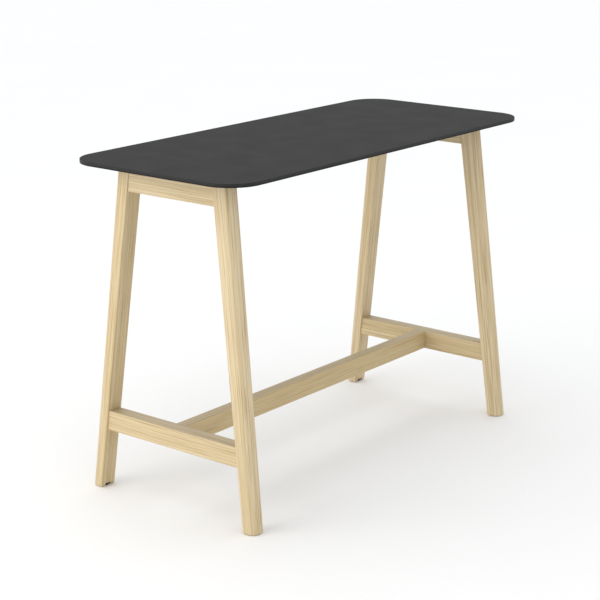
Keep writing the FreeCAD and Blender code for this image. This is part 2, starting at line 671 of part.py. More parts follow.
def make_beam(name, side_y):
    """A beam: a rectangular steel tube, drilled through for the screws that hold the top."""
    middle = times(side_y, BEAM_Y)
    body = doc.addObject("PartDesign::Body", f"{name}_tube")
    outside = sketch_on(body, f"{name}_outside", "YZ_Plane")
    outer_round = "(Sizes.beam_inner_round + Sizes.beam_wall)"
    rounded_box(outside, f"({middle} - Sizes.beam_wide / 2)", f"({middle} + Sizes.beam_wide / 2)",
                BEAM_LOW, HEAD_Z, outer_round, outer_round)
    pad(body, outside, f"2 * {BEAM_END_X}", both_ways=True)
    inside = sketch_on(body, f"{name}_inside", "YZ_Plane")
    half_inside = "(Sizes.beam_wide / 2 - Sizes.beam_wall)"
    rounded_box(inside, f"({middle} - {half_inside})", f"({middle} + {half_inside})",
                f"({BEAM_LOW} + Sizes.beam_wall)", f"({HEAD_Z} - Sizes.beam_wall)",
                "Sizes.beam_inner_round", "Sizes.beam_inner_round")
    doc.recompute()
    hollow = body.newObject("PartDesign::Pocket", f"{name}_hollow")
    hollow.Profile = inside
    hollow.Type = "ThroughAll"
    hollow.Midplane = True
    inside.Visibility = False
    holes = [
        cylinder(f"{name}_hole{number}", SCREW_HOLE, "Sizes.beam_tall", (x, y, BEAM_LOW))
        for number, (x, y) in enumerate(beam_screw_spots(), 1)
        if y == middle
    ]
    return cut(name, body, holes)


def make_end_plates(name, side_x):
    """The plates welded to the two beams at one end, against the upper rail."""
    plates = []
    start = BEAM_END_X if side_x > 0 else minus(UPPER_RAIL_IN_X)
    for side_y in (-1, 1):
        middle = times(side_y, BEAM_Y)
        tag = f"{name}_{side_y + 1}"
        blank = box(f"{tag}_blank", "Sizes.plate_thick", PLATE_WIDE,
                    f"{HEAD_Z} - Sizes.plate_top_gap - {PLATE_LOW}",
                    (start, f"{middle} - {PLATE_WIDE} / 2", PLATE_LOW))
        holes = [
            cylinder(f"{tag}_hole{number}", SCREW_HOLE, "Sizes.plate_thick",
                     (start, hole_y, PLATE_HOLE_Z), ALONG_X)
            for number, hole_y in enumerate(plate_hole_ys(side_y))
        ]
        plates.append(cut(f"{tag}_plate", blank, holes))
    return group(name, plates)


# ---------------------------------------------------------------------------------------------------
# Machine screws and threaded inserts
# ---------------------------------------------------------------------------------------------------

def screw(name, at, direction, reach):
    """A machine screw: its head's seat is at a point, and its shank runs on from there."""
    x, y, z = at
    back = FreeCAD.Vector(direction) * -1
    shank = cylinder(f"{name}_shank", "Sizes.screw_radius", reach, at, direction)
    head = cylinder(f"{name}_head", "Sizes.head_radius", "Sizes.head_tall", at, back)
    depth = "(Sizes.head_tall - Sizes.hex_socket_deep)"
    floor = [
        f"({start} + {step} * {depth})" if step else start
        for start, step in zip((x, y, z), (round(back.x), round(back.y), round(back.z)))
    ]
    socket = hexagon(f"{name}_socket", "Sizes.hex_socket_flats", "Sizes.hex_socket_deep", floor, back)
    return cut(f"{name}_screw", fuse(f"{name}_solid", [head, shank]), [socket])


def insert(name, at, direction, length):
    """A threaded insert, from its mouth along a direction."""
    outside = cylinder(f"{name}_outside", INSERT_RADIUS, length, at, direction)
    bore = cylinder(f"{name}_bore", SCREW_THREAD, length, at, direction)
    return cut(f"{name}_insert", outside, [bore])


def make_rail_top_screws(name, side_x):
    """The two screws up through an upper rail into the top."""
    seat = f"({HEAD_Z} - Sizes.top_screw_wood)"
    reach = f"(Sizes.top_screw_wood + {TOP_INSERT_LENGTH})"
    middle = times(side_x, UPPER_RAIL_X)
    return group(name, [
        screw(f"{name}_{number}", (x, y, seat), UP, reach)
        for number, (x, y) in enumerate(rail_screw_spots(), 1)
        if x == middle
    ])


def make_beam_top_screws(name):
    """The six screws up through the beams into the top."""
    reach = f"(Sizes.beam_tall + {TOP_INSERT_LENGTH})"
    return group(name, [
        screw(f"{name}_{number}", (x, y, BEAM_LOW), UP, reach)
        for number, (x, y) in enumerate(beam_screw_spots(), 1)
    ])


def make_top_inserts(name, spots):
    """Inserts in the blind holes of the top, flush with its underside."""
    return group(name, [
        insert(f"{name}_{number}", (x, y, HEAD_Z), UP, TOP_INSERT_LENGTH)
        for number, (x, y) in enumerate(spots, 1)
    ])


def plate_screw_spots(x):
    return [(x, hole_y, PLATE_HOLE_Z) for side_y in (-1, 1) for hole_y in plate_hole_ys(side_y)]


def make_plate_screws(name, side_x):
    """The four screws through the end plates into an upper rail."""
    spots = plate_screw_spots(times(side_x, BEAM_END_X))
    reach = "(Sizes.plate_thick + Sizes.plate_insert_length - Sizes.plate_screw_short)"
    return group(name, [
        screw(f"{name}_{number}", at, FreeCAD.Vector(side_x, 0, 0), reach)
        for number, at in enumerate(spots, 1)
    ])


def make_plate_inserts(name, side_x):
    """The four inserts for those screws, flush with the rail's inner face."""
    spots = plate_screw_spots(times(side_x, UPPER_RAIL_IN_X))
    return group(name, [
        insert(f"{name}_{number}", at, FreeCAD.Vector(side_x, 0, 0), "Sizes.plate_insert_length")
        for number, at in enumerate(spots, 1)
    ])


# ---------------------------------------------------------------------------------------------------
# The levelling glides
# ---------------------------------------------------------------------------------------------------

def make_glide_base(name, x, y):
    """The moulded base: it stands on the floor, and the stud's foot turns in its socket."""
    disc = cylinder(f"{name}_disc", "Sizes.glide_radius", "Sizes.glide_base_tall", (x, y, "0"))
    doc.recompute()
    eased = doc.addObject("Part::Fillet", f"{name}_eased")
    eased.Base = disc
    radius = value("Sizes.glide_edge_round")
    eased.Edges = [
        (number, radius, radius)
        for number, edge in enumerate(disc.Shape.Edges, 1)
        if edge.BoundBox.ZLength < 1e-6
    ]
    socket_floor = "(Sizes.glide_base_tall - Sizes.glide_socket_deep - Sizes.glide_socket_gap)"
    socket = cylinder(f"{name}_socket", "Sizes.glide_stud_radius + Sizes.glide_socket_gap",
                      "Sizes.glide_base_tall", (x, y, socket_floor))
    return cut(name, eased, [socket])


def make_glide_stud(name, x, y):
    """The stud: a foot in the base, a hexagonal collar to turn it by, and the thread above."""
    foot_low = "(Sizes.glide_base_tall - Sizes.glide_socket_deep)"
    rod = cylinder(f"{name}_rod", "Sizes.glide_stud_radius", f"{GLIDE_STUD_TOP} - {foot_low}",
                   (x, y, foot_low))
    collar = hexagon(f"{name}_collar", "Sizes.glide_collar_flats", "Sizes.glide_collar_tall",
                     (x, y, "Sizes.glide_base_tall"))
    return fuse(name, [rod, collar])


def make_glide_sleeve(name, x, y):
    """The threaded sleeve in the leg, flush with the roof of the notch."""
    outside = cylinder(f"{name}_outside", GLIDE_SLEEVE_RADIUS, "Sizes.glide_sleeve_length",
                       (x, y, SLOT_ROOF))
    bore = cylinder(f"{name}_bore", GLIDE_THREAD, "Sizes.glide_sleeve_length", (x, y, SLOT_ROOF))
    return cut(name, outside, [bore])


# ---------------------------------------------------------------------------------------------------
# The whole table
# ---------------------------------------------------------------------------------------------------

def make_table():
    """Every node of the table, in the order in which it is put together."""
    nodes = [make_tabletop(), make_stretcher()]
    for side, side_x in (("left", -1), ("right", 1)):
        nodes += [
            make_upper_rail(f"{side}_upper_rail", side_x),
            make_lower_rail(f"{side}_lower_rail", side_x),
            make_frame_dowels(f"{side}_upper_dowels", side_x, UPPER_RAIL_X, upper_dowel_heights()),
            make_frame_dowels(f"{side}_lower_dowels", side_x, LOWER_RAIL_X, lower_dowel_heights()),
            make_stretcher_dowels(f"{side}_stretcher_dowels", side_x),
            make_stretcher_insert(f"{side}_stretcher_insert", side_x),
            make_stretcher_stud(f"{side}_stretcher_stud", side_x),
            make_half_moon(f"{side}_stretcher_washer", side_x),
            make_stud_nut(f"{side}_stretcher_nut", side_x),
            make_end_plates(f"{side}_beam_plates", side_x),
            make_plate_screws(f"{side}_plate_screws", side_x),
            make_plate_inserts(f"{side}_plate_inserts", side_x),
            make_rail_top_screws(f"{side}_top_screws", side_x),
        ]
        for row, side_y in (("front", -1), ("back", 1)):
            corner = f"{row}_{side}"
            x = times(side_x, GLIDE_X)
            y = times(side_y, GLIDE_Y)
            nodes += [
                make_leg(f"{corner}_leg", side_x, side_y),
                make_glide_sleeve(f"{corner}_glide_sleeve", x, y),
                make_glide_stud(f"{corner}_glide_stud", x, y),
                make_glide_base(f"{corner}_glide_base", x, y),
            ]
    nodes += [
        make_beam("front_beam", -1),
        make_beam("back_beam", 1),
        make_beam_top_screws("beam_top_screws"),
        make_top_inserts("rail_top_inserts", rail_screw_spots()),
        make_top_inserts("beam_top_inserts", beam_screw_spots()),
    ]
    return nodes


nodes = make_table()
for node in nodes:
    node.Label = node.Name
doc.recompute()

for thing in doc.Objects:
    assert not {"Invalid", "Error"} & set(thing.State), f"{thing.Name} failed: {thing.State}"
for node in nodes:
    assert not node.Shape.isNull() and node.Shape.isValid(), f"{node.Label} has no sound shape"

os.makedirs("parts", exist_ok=True)
for node in nodes:
    node.Shape.exportStep(f"parts/{node.Label}.step")
    box_now = node.Shape.BoundBox
    print(f"{node.Label:28s} solids {len(node.Shape.Solids)}  volume {node.Shape.Volume:12.1f}  "
          f"z {box_now.ZMin:8.2f} to {box_now.ZMax:8.2f}")
print(len(nodes), "nodes")
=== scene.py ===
import math

import bmesh
import bpy
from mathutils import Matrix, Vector


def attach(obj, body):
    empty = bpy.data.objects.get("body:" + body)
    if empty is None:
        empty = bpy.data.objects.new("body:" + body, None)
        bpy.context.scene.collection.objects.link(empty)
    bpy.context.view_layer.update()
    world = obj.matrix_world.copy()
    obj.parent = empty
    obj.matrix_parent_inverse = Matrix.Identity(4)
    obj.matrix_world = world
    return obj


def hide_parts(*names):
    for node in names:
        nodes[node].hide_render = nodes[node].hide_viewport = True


# Standing meeting table: a thin black compact-laminate top on two A-frames of pale ash, joined by one low
# stretcher and by two steel beams under the top. Metres, +Z up, +X along the table, front is -Y.

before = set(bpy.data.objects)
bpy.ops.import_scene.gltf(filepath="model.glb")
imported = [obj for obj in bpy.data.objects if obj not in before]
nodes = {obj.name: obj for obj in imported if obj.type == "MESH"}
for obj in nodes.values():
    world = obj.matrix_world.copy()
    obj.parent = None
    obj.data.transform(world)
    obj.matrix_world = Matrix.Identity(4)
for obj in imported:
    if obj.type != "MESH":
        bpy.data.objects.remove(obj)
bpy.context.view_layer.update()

SIDES = {"left": -1, "right": 1}
ROWS = {"front": -1, "back": 1}
CORNERS = {f"{row}_{side}": (side_x, side_y)
           for side, side_x in SIDES.items() for row, side_y in ROWS.items()}

# Where the pieces meet, on the right and at the back. The left and the front are their mirror images.
UNDERSIDE = 1.098                   # the top lies on the frames at this height
HEAD_X, HEAD_Y = 0.6685, 0.198      # the middle of a leg's upper end; the upper rail has the same X
FOOT_X, FOOT_Y = 0.701, 0.329       # the middle of its lower end; the glide has the same X
FOOT_BOTTOM = 0.001                 # the feet are this far off the floor
GLIDE_Y = 0.321
LOW_RAIL_Z = 0.24                   # the middle of the lower rails and of the stretcher
BEAM_Y = 0.118
BEAM_END = 0.6345                   # where the beams meet their end plates
BEAM_SCREW_X = 0.4795               # the top's screws through the beams, besides those in the middle
RAIL_SCREW_Y = 0.055                # the top's screws through the upper rails
PLATE_Z = 1.0755                    # the middle of the end plates
PLATE_HOLE_Y, PLATE_HOLE_DROP = 0.011, 0.0095


# ---------------------------------------------------------------------------------------------------
# Finishes
# ---------------------------------------------------------------------------------------------------

def colour(code):
    """A linear colour from its sRGB hex code."""
    parts = [int(code[start:start + 2], 16) / 255 for start in (0, 2, 4)]
    linear = [part / 12.92 if part <= 0.04045 else ((part + 0.055) / 1.055) ** 2.4 for part in parts]
    return (*linear, 1.0)


def add_node(tree, kind, inputs, **settings):
    """A node with its settings, and a number, colour or other node's output for each input that it names."""
    node = tree.nodes.new(kind)
    for name, setting in settings.items():
        setattr(node, name, setting)
    for name, given in inputs.items():
        if isinstance(given, bpy.types.NodeSocket):
            tree.links.new(given, node.inputs[name])
        else:
            node.inputs[name].default_value = given
    return node


def new_finish(name):
    """An empty material: its node tree, its shader and the texture coordinates that its patterns read."""
    finish = bpy.data.materials.new(name)
    finish.use_nodes = True
    tree = finish.node_tree
    tree.nodes.clear()
    shader = add_node(tree, "ShaderNodeBsdfPrincipled", {})
    add_node(tree, "ShaderNodeOutputMaterial", {"Surface": shader.outputs["BSDF"]})
    place = add_node(tree, "ShaderNodeTexCoord", {})
    return finish, tree, shader, place


def lacquered_ash(piece, grain, middle, pith_side, pith_far, pith_off, tan_and_shade=0.0, rings=0.0042, top_shade=0.0):
    """Ash, sawn near the quarter, planed and given a clear matt lacquer: pale and creamy, with thin golden
    lines of open-pored early wood that wander a little, soft broad streaks and fine fibres along the grain.
    The rings are round a pith that lies outside the piece, so its faces and its end grain belong together.
    A board with more tan in it is a little darker; on pieces that lie in shade the tan is partly painted
    shade. An upper face can be made greyer by painted shade, as under the shadow of the top."""
    finish, tree, shader, place = new_finish(f"lacquered_ash_{piece}")
    grain = Vector(grain).normalized()
    side = Vector(pith_side).normalized()
    third = grain.cross(side).normalized()
    pith = Vector(middle) + pith_far * side + pith_off * third
    turned = grain.to_track_quat("Z", "Y").to_euler()
    along = add_node(tree, "ShaderNodeMapping", {
        "Vector": place.outputs["Object"], "Location": pith, "Rotation": turned,
    }, vector_type="TEXTURE")
    flat = along.outputs["Vector"]

    def pattern(across, lengthwise, detail, roughness=0.5):
        """Noise that is stretched along the grain; its sizes are in patterns per metre."""
        stretched = add_node(tree, "ShaderNodeVectorMath", {0: flat, 1: (across, across, lengthwise)},
                             operation="MULTIPLY")
        return add_node(tree, "ShaderNodeTexNoise", {
            "Vector": stretched.outputs["Vector"], "Scale": 1.0, "Detail": detail, "Roughness": roughness,
        }).outputs["Fac"]

    # the rings wander by some 2 mm over half a metre, and by a quarter of a millimetre over a hand's width
    drift = add_node(tree, "ShaderNodeMath", {0: pattern(5, 1.6, 1), 1: 0.5}, operation="SUBTRACT")
    ripple = add_node(tree, "ShaderNodeMath", {0: pattern(28, 8, 1), 1: 0.5}, operation="SUBTRACT")
    outwards = add_node(tree, "ShaderNodeVectorMath", {0: flat, 1: (1, 1, 0)}, operation="MULTIPLY")
    radius = add_node(tree, "ShaderNodeVectorMath", {0: outwards.outputs["Vector"]}, operation="LENGTH")
    drifted = add_node(tree, "ShaderNodeMath", {0: drift.outputs[0], 1: 0.008, 2: radius.outputs["Value"]},
                       operation="MULTIPLY_ADD")
    wavy = add_node(tree, "ShaderNodeMath", {0: ripple.outputs[0], 1: 0.0009, 2: drifted.outputs[0]},
                    operation="MULTIPLY_ADD")
    # good and poor years: each ring is wider or narrower than the board's mean
    years = add_node(tree, "ShaderNodeTexNoise", {"W": wavy.outputs[0], "Scale": 55.0, "Detail": 1.0},
                     noise_dimensions="1D")
    uneven = add_node(tree, "ShaderNodeMath", {0: years.outputs["Fac"], 1: 0.006, 2: wavy.outputs[0]},
                      operation="MULTIPLY_ADD")
    count = add_node(tree, "ShaderNodeMath", {0: uneven.outputs[0], 1: rings}, operation="DIVIDE")
    within = add_node(tree, "ShaderNodeMath", {0: count.outputs[0]}, operation="FRACT")
    year = add_node(tree, "ShaderNodeMath", {0: count.outputs[0]}, operation="FLOOR")
    strength = add_node(tree, "ShaderNodeTexWhiteNoise", {"W": year.outputs[0]}, noise_dimensions="1D")
    # early wood starts at once after the winter and fades out over the year
    late = add_node(tree, "ShaderNodeMath", {0: 1.0, 1: within.outputs[0]}, operation="SUBTRACT")
    early = add_node(tree, "ShaderNodeMath", {0: late.outputs[0], 1: 3.2}, operation="POWER")
    onset = add_node(tree, "ShaderNodeMapRange", {
        "Value": within.outputs[0], "From Min": 0.0, "From Max": 0.12, "To Min": 0.0, "To Max": 1.0,
    }, interpolation_type="SMOOTHSTEP")
    edged = add_node(tree, "ShaderNodeMath", {0: early.outputs[0], 1: onset.outputs["Result"]},
                     operation="MULTIPLY")
    depth = add_node(tree, "ShaderNodeMapRange", {
        "Value": strength.outputs["Value"], "From Min": 0.0, "From Max": 1.0, "To Min": 0.2, "To Max": 1.05,
    })
    line = add_node(tree, "ShaderNodeMath", {0: edged.outputs[0], 1: depth.outputs["Result"]},
                    operation="MULTIPLY")

    # streaks 3 to 8 mm wide, rows of pores 2 to 3 mm wide and some 200 mm long, fibres about 1 mm wide,
    # and pores drawn 0.6 mm wide, which is twice their size, so that they show
    streak = pattern(150, 1.2, 3, 0.62)
    dash = pattern(330, 4.5, 2, 0.6)
    fibre = pattern(850, 6, 3, 0.6)
    speck = pattern(1700, 75, 1)
    pore = add_node(tree, "ShaderNodeMapRange", {
        "Value": speck, "From Min": 0.6, "From Max": 0.7, "To Min": 0.0, "To Max": 1.0,
    })
    open_pore = add_node(tree, "ShaderNodeMath", {0: pore.outputs["Result"], 1: line.outputs[0]},
                         operation="MULTIPLY")
    # the tan darkens the ground: partly the board's own tone, partly painted shade on pieces that lie in
    # shade
    tone = add_node(tree, "ShaderNodeMapRange", {
        "Value": streak, "From Min": 0.32, "From Max": 0.68, "To Min": tan_and_shade, "To Max": tan_and_shade + 1.0,
    })
    ground = add_node(tree, "ShaderNodeMix", {
        0: tone.outputs["Result"], 6: colour("DFCFAF"), 7: colour("C6B185"),
    }, data_type="RGBA")
    lined = add_node(tree, "ShaderNodeMix", {
        0: line.outputs[0], 6: ground.outputs[2], 7: colour("A78E60"),
    }, data_type="RGBA")
    dash_tone = add_node(tree, "ShaderNodeMapRange", {
        "Value": dash, "From Min": 0.52, "From Max": 0.7, "To Min": 0.0, "To Max": 0.8,
    })
    dashed = add_node(tree, "ShaderNodeMix", {
        0: dash_tone.outputs["Result"], 6: lined.outputs[2], 7: colour("9A8052"),
    }, data_type="RGBA")
    fibre_tone = add_node(tree, "ShaderNodeMapRange", {
        "Value": fibre, "From Min": 0.3, "From Max": 0.7, "To Min": 0.0, "To Max": 0.3,
    })
    fibrous = add_node(tree, "ShaderNodeMix", {
        0: fibre_tone.outputs["Result"], 6: dashed.outputs[2], 7: colour("BAA277"),
    }, data_type="RGBA")
    pored = add_node(tree, "ShaderNodeMix", {
        0: open_pore.outputs[0], 6: fibrous.outputs[2], 7: colour("80613A"),
    }, data_type="RGBA")
    # end grain drinks more lacquer and is darker
    square_on = add_node(tree, "ShaderNodeVectorMath", {0: place.outputs["Normal"], 1: grain},
                         operation="DOT_PRODUCT")
    facing = add_node(tree, "ShaderNodeMath", {0: square_on.outputs["Value"]}, operation="ABSOLUTE")
    ends = add_node(tree, "ShaderNodeMapRange", {
        "Value": facing.outputs[0], "From Min": 0.75, "From Max": 0.97, "To Min": 0.0, "To Max": 0.42,
    })
    ended = add_node(tree, "ShaderNodeMix", {
        0: ends.outputs["Result"], 6: pored.outputs[2], 7: colour("917146"),
    }, data_type="RGBA")
    # painted shade: an upper face is made greyer, as in the shadow of the top above it
    upright = add_node(tree, "ShaderNodeSeparateXYZ", {"Vector": place.outputs["Normal"]})
    marked_zone = add_node(tree, "ShaderNodeMapRange", {
        "Value": upright.outputs["Z"], "From Min": 0.4, "From Max": 0.9, "To Min": 0.0, "To Max": top_shade,
    })
    wood = add_node(tree, "ShaderNodeMix", {
        0: marked_zone.outputs["Result"], 6: ended.outputs[2], 7: colour("83745A"),
    }, data_type="RGBA")
    tree.links.new(wood.outputs[2], shader.inputs["Base Color"])
    gloss = add_node(tree, "ShaderNodeMapRange", {
        "Value": fibre, "From Min": 0.3, "From Max": 0.7, "To Min": 0.46, "To Max": 0.56,
    })
    tree.links.new(gloss.outputs["Result"], shader.inputs["Roughness"])
    # early wood and its pores are a little sunk
    dip = add_node(tree, "ShaderNodeMath", {0: line.outputs[0], 1: -0.35, 2: fibre}, operation="MULTIPLY_ADD")
    sunk = add_node(tree, "ShaderNodeMath", {0: open_pore.outputs[0], 1: -0.8, 2: dip.outputs[0]},
                    operation="MULTIPLY_ADD")
    relief = add_node(tree, "ShaderNodeBump", {
        "Height": sunk.outputs[0], "Strength": 0.35, "Distance": 0.00012,
    })
    tree.links.new(relief.outputs["Normal"], shader.inputs["Normal"])
    return finish


def pressed_laminate():
    """Black compact laminate, pressed against a fine matt plate and milled along its edge: an even
    charcoal with a soft grain of about 0.6 mm and faint cloudy handling marks. The edge has fine upright
    cutter marks, and painted shade takes it from charcoal to black towards its lower arris."""
    finish, tree, shader, place = new_finish("pressed_compact_laminate")
    at = place.outputs["Object"]
    grain = add_node(tree, "ShaderNodeTexNoise", {"Vector": at, "Scale": 1600.0, "Detail": 2.0})
    cloud = add_node(tree, "ShaderNodeTexNoise", {"Vector": at, "Scale": 9.0, "Detail": 3.0})
    upright = add_node(tree, "ShaderNodeSeparateXYZ", {"Vector": place.outputs["Normal"]})
    lying = add_node(tree, "ShaderNodeMath", {0: upright.outputs["Z"]}, operation="ABSOLUTE")
    face = add_node(tree, "ShaderNodeMapRange", {
        "Value": lying.outputs[0], "From Min": 0.3, "From Max": 0.5, "To Min": 0.0, "To Max": 1.0,
    })
    drawn_up = add_node(tree, "ShaderNodeVectorMath", {0: at, 1: (700, 700, 6)}, operation="MULTIPLY")
    cutter = add_node(tree, "ShaderNodeTexNoise", {
        "Vector": drawn_up.outputs["Vector"], "Scale": 1.0, "Detail": 1.0,
    })
    mottle = add_node(tree, "ShaderNodeMapRange", {
        "Value": grain.outputs["Fac"], "From Min": 0.35, "From Max": 0.65, "To Min": 0.0, "To Max": 1.0,
    })
    skin = add_node(tree, "ShaderNodeMix", {
        0: mottle.outputs["Result"], 6: colour("252423"), 7: colour("2A2928"),
    }, data_type="RGBA")
    milled = add_node(tree, "ShaderNodeMix", {
        0: cutter.outputs["Fac"], 6: colour("222222"), 7: colour("2A2A2A"),
    }, data_type="RGBA")
    # painted shade: the edge darkens to black towards its lower arris
    height = add_node(tree, "ShaderNodeSeparateXYZ", {"Vector": at})
    low = add_node(tree, "ShaderNodeMapRange", {
        "Value": height.outputs["Z"], "From Min": UNDERSIDE + 0.0025, "From Max": UNDERSIDE + 0.006,
        "To Min": 1.0, "To Max": 0.0,
    }, interpolation_type="SMOOTHSTEP")
    core = add_node(tree, "ShaderNodeMix", {
        0: low.outputs["Result"], 6: milled.outputs[2], 7: colour("060606"),
    }, data_type="RGBA")
    both = add_node(tree, "ShaderNodeMix", {
        0: face.outputs["Result"], 6: core.outputs[2], 7: skin.outputs[2],
    }, data_type="RGBA")
    tree.links.new(both.outputs[2], shader.inputs["Base Color"])
    matt = add_node(tree, "ShaderNodeMapRange", {
        "Value": cloud.outputs["Fac"], "From Min": 0.3, "From Max": 0.7, "To Min": 0.76, "To Max": 0.82,
    })
    gloss = add_node(tree, "ShaderNodeMix", {
        0: face.outputs["Result"], 2: 0.5, 3: matt.outputs["Result"],
    }, data_type="FLOAT")
    tree.links.new(gloss.outputs[0], shader.inputs["Roughness"])
    shader.inputs["Specular IOR Level"].default_value = 0.2
    texture = add_node(tree, "ShaderNodeMix", {
        0: face.outputs["Result"], 2: cutter.outputs["Fac"], 3: grain.outputs["Fac"],
    }, data_type="FLOAT")
    relief = add_node(tree, "ShaderNodeBump", {
        "Height": texture.outputs[0], "Strength": 0.4, "Distance": 0.00006,
    })
    tree.links.new(relief.outputs["Normal"], shader.inputs["Normal"])
    return finish


def powder_coated_steel():
    """Mild steel under black powder coat, sprayed and baked: a satin black skin with a fine texture like
    orange peel, about 1 mm from bump to bump."""
    finish, tree, shader, place = new_finish("powder_coated_steel")
    at = place.outputs["Object"]
    peel = add_node(tree, "ShaderNodeTexNoise", {"Vector": at, "Scale": 950.0, "Detail": 2.0})
    cloud = add_node(tree, "ShaderNodeTexNoise", {"Vector": at, "Scale": 30.0, "Detail": 2.0})
    skin = add_node(tree, "ShaderNodeMix", {
        0: peel.outputs["Fac"], 6: colour("161617"), 7: colour("222223"),
    }, data_type="RGBA")
    tree.links.new(skin.outputs[2], shader.inputs["Base Color"])
    gloss = add_node(tree, "ShaderNodeMapRange", {
        "Value": cloud.outputs["Fac"], "From Min": 0.3, "From Max": 0.7, "To Min": 0.46, "To Max": 0.56,
    })
    tree.links.new(gloss.outputs["Result"], shader.inputs["Roughness"])
    relief = add_node(tree, "ShaderNodeBump", {
        "Height": peel.outputs["Fac"], "Strength": 0.45, "Distance": 0.0002,
    })
    tree.links.new(relief.outputs["Normal"], shader.inputs["Normal"])
    return finish


def black_oxide_steel():
    """Hardened steel, blackened in a hot bath and oiled: a dark, slightly brown metal with soft cloudy
    patches, as keys and thumbs leave on it."""
    finish, tree, shader, place = new_finish("black_oxide_steel")
    cloud = add_node(tree, "ShaderNodeTexNoise", {
        "Vector": place.outputs["Object"], "Scale": 420.0, "Detail": 4.0, "Roughness": 0.6,
    })
    skin = add_node(tree, "ShaderNodeMix", {
        0: cloud.outputs["Fac"], 6: colour("1C1B1C"), 7: colour("363432"),
    }, data_type="RGBA")
    tree.links.new(skin.outputs[2], shader.inputs["Base Color"])
    gloss = add_node(tree, "ShaderNodeMapRange", {
        "Value": cloud.outputs["Fac"], "From Min": 0.3, "From Max": 0.7, "To Min": 0.34, "To Max": 0.5,
    })
    tree.links.new(gloss.outputs["Result"], shader.inputs["Roughness"])
    shader.inputs["Metallic"].default_value = 0.85
    relief = add_node(tree, "ShaderNodeBump", {
        "Height": cloud.outputs["Fac"], "Strength": 0.2, "Distance": 0.00005,
    })
    tree.links.new(relief.outputs["Normal"], shader.inputs["Normal"])
    return finish


def bright_zinc_plate():
    """Turned steel, plated with bright zinc and passivated: a cool silver with a thin bluish bloom and
    faint turning lines."""
    finish, tree, shader, place = new_finish("bright_zinc_plate")
    at = place.outputs["Object"]
    bloom = add_node(tree, "ShaderNodeTexNoise", {"Vector": at, "Scale": 260.0, "Detail": 3.0})
    rung = add_node(tree, "ShaderNodeVectorMath", {0: at, 1: (60, 60, 4200)}, operation="MULTIPLY")
    turning = add_node(tree, "ShaderNodeTexNoise", {
        "Vector": rung.outputs["Vector"], "Scale": 1.0, "Detail": 1.0,
    })
    skin = add_node(tree, "ShaderNodeMix", {
        0: bloom.outputs["Fac"], 6: colour("B4BAC2"), 7: colour("D3D4D2"),
    }, data_type="RGBA")
    tree.links.new(skin.outputs[2], shader.inputs["Base Color"])
    gloss = add_node(tree, "ShaderNodeMapRange", {
        "Value": bloom.outputs["Fac"], "From Min": 0.3, "From Max": 0.7, "To Min": 0.22, "To Max": 0.38,
    })
    tree.links.new(gloss.outputs["Result"], shader.inputs["Roughness"])
    shader.inputs["Metallic"].default_value = 1.0
    relief = add_node(tree, "ShaderNodeBump", {
        "Height": turning.outputs["Fac"], "Strength": 0.2, "Distance": 0.00004,
    })
    tree.links.new(relief.outputs["Normal"], shader.inputs["Normal"])
    return finish


def moulded_nylon():
    """Black nylon 6, injection moulded in a spark-eroded tool: a soft sheen over a fine pebbled skin of
    about 0.4 mm, a little paler where it has been scuffed by the floor."""
    finish, tree, shader, place = new_finish("moulded_nylon")
    at = place.outputs["Object"]
    pebble = add_node(tree, "ShaderNodeTexVoronoi", {"Vector": at, "Scale": 2400.0}, feature="SMOOTH_F1")
    scuff = add_node(tree, "ShaderNodeTexNoise", {
        "Vector": at, "Scale": 500.0, "Detail": 4.0, "Roughness": 0.65,
    })
    height = add_node(tree, "ShaderNodeSeparateXYZ", {"Vector": at})
    low = add_node(tree, "ShaderNodeMapRange", {
        "Value": height.outputs["Z"], "From Min": 0.0, "From Max": 0.0018, "To Min": 0.5, "To Max": 0.0,
    })
    marked_zone = add_node(tree, "ShaderNodeMath", {0: scuff.outputs["Fac"], 1: low.outputs["Result"]},
                      operation="MULTIPLY")
    skin = add_node(tree, "ShaderNodeMix", {
        0: marked_zone.outputs[0], 6: colour("0E0E0F"), 7: colour("3C3B39"),
    }, data_type="RGBA")
    tree.links.new(skin.outputs[2], shader.inputs["Base Color"])
    gloss = add_node(tree, "ShaderNodeMapRange", {
        "Value": scuff.outputs["Fac"], "From Min": 0.3, "From Max": 0.7, "To Min": 0.38, "To Max": 0.55,
    })
    tree.links.new(gloss.outputs["Result"], shader.inputs["Roughness"])
    shader.inputs["IOR"].default_value = 1.53
    relief = add_node(tree, "ShaderNodeBump", {
        "Height": pebble.outputs["Distance"], "Strength": 0.3, "Distance": 0.00006,
    })
    tree.links.new(relief.outputs["Normal"], shader.inputs["Normal"])
    return finish


def turned_beech(dowels, grain):
    """Beech dowel, turned and left raw: warm pinkish tan with short dark flecks along the grain."""
    finish, tree, shader, place = new_finish(f"turned_beech_{dowels}")
    turned = Vector(grain).to_track_quat("Z", "Y").to_euler()
    along = add_node(tree, "ShaderNodeMapping", {"Vector": place.outputs["Object"], "Rotation": turned},
                     vector_type="TEXTURE")
    fine = add_node(tree, "ShaderNodeVectorMath", {0: along.outputs["Vector"], 1: (900, 900, 90)},
                    operation="MULTIPLY")
    fleck = add_node(tree, "ShaderNodeTexNoise", {
        "Vector": fine.outputs["Vector"], "Scale": 1.0, "Detail": 2.0,
    })
    flecked = add_node(tree, "ShaderNodeMapRange", {
        "Value": fleck.outputs["Fac"], "From Min": 0.52, "From Max": 0.68, "To Min": 0.0, "To Max": 1.0,
    })
    skin = add_node(tree, "ShaderNodeMix", {
        0: flecked.outputs["Result"], 6: colour("D9B892"), 7: colour("A97C55"),
    }, data_type="RGBA")
    tree.links.new(skin.outputs[2], shader.inputs["Base Color"])
    shader.inputs["Roughness"].default_value = 0.68
    relief = add_node(tree, "ShaderNodeBump", {
        "Height": fleck.outputs["Fac"], "Strength": 0.3, "Distance": 0.0001,
    })
    tree.links.new(relief.outputs["Normal"], shader.inputs["Normal"])
    return finish


def finish_node(name, finish):
    """Give a CAD node its finish in every one of its material slots."""
    for holder in nodes[name].material_slots:
        holder.material = finish


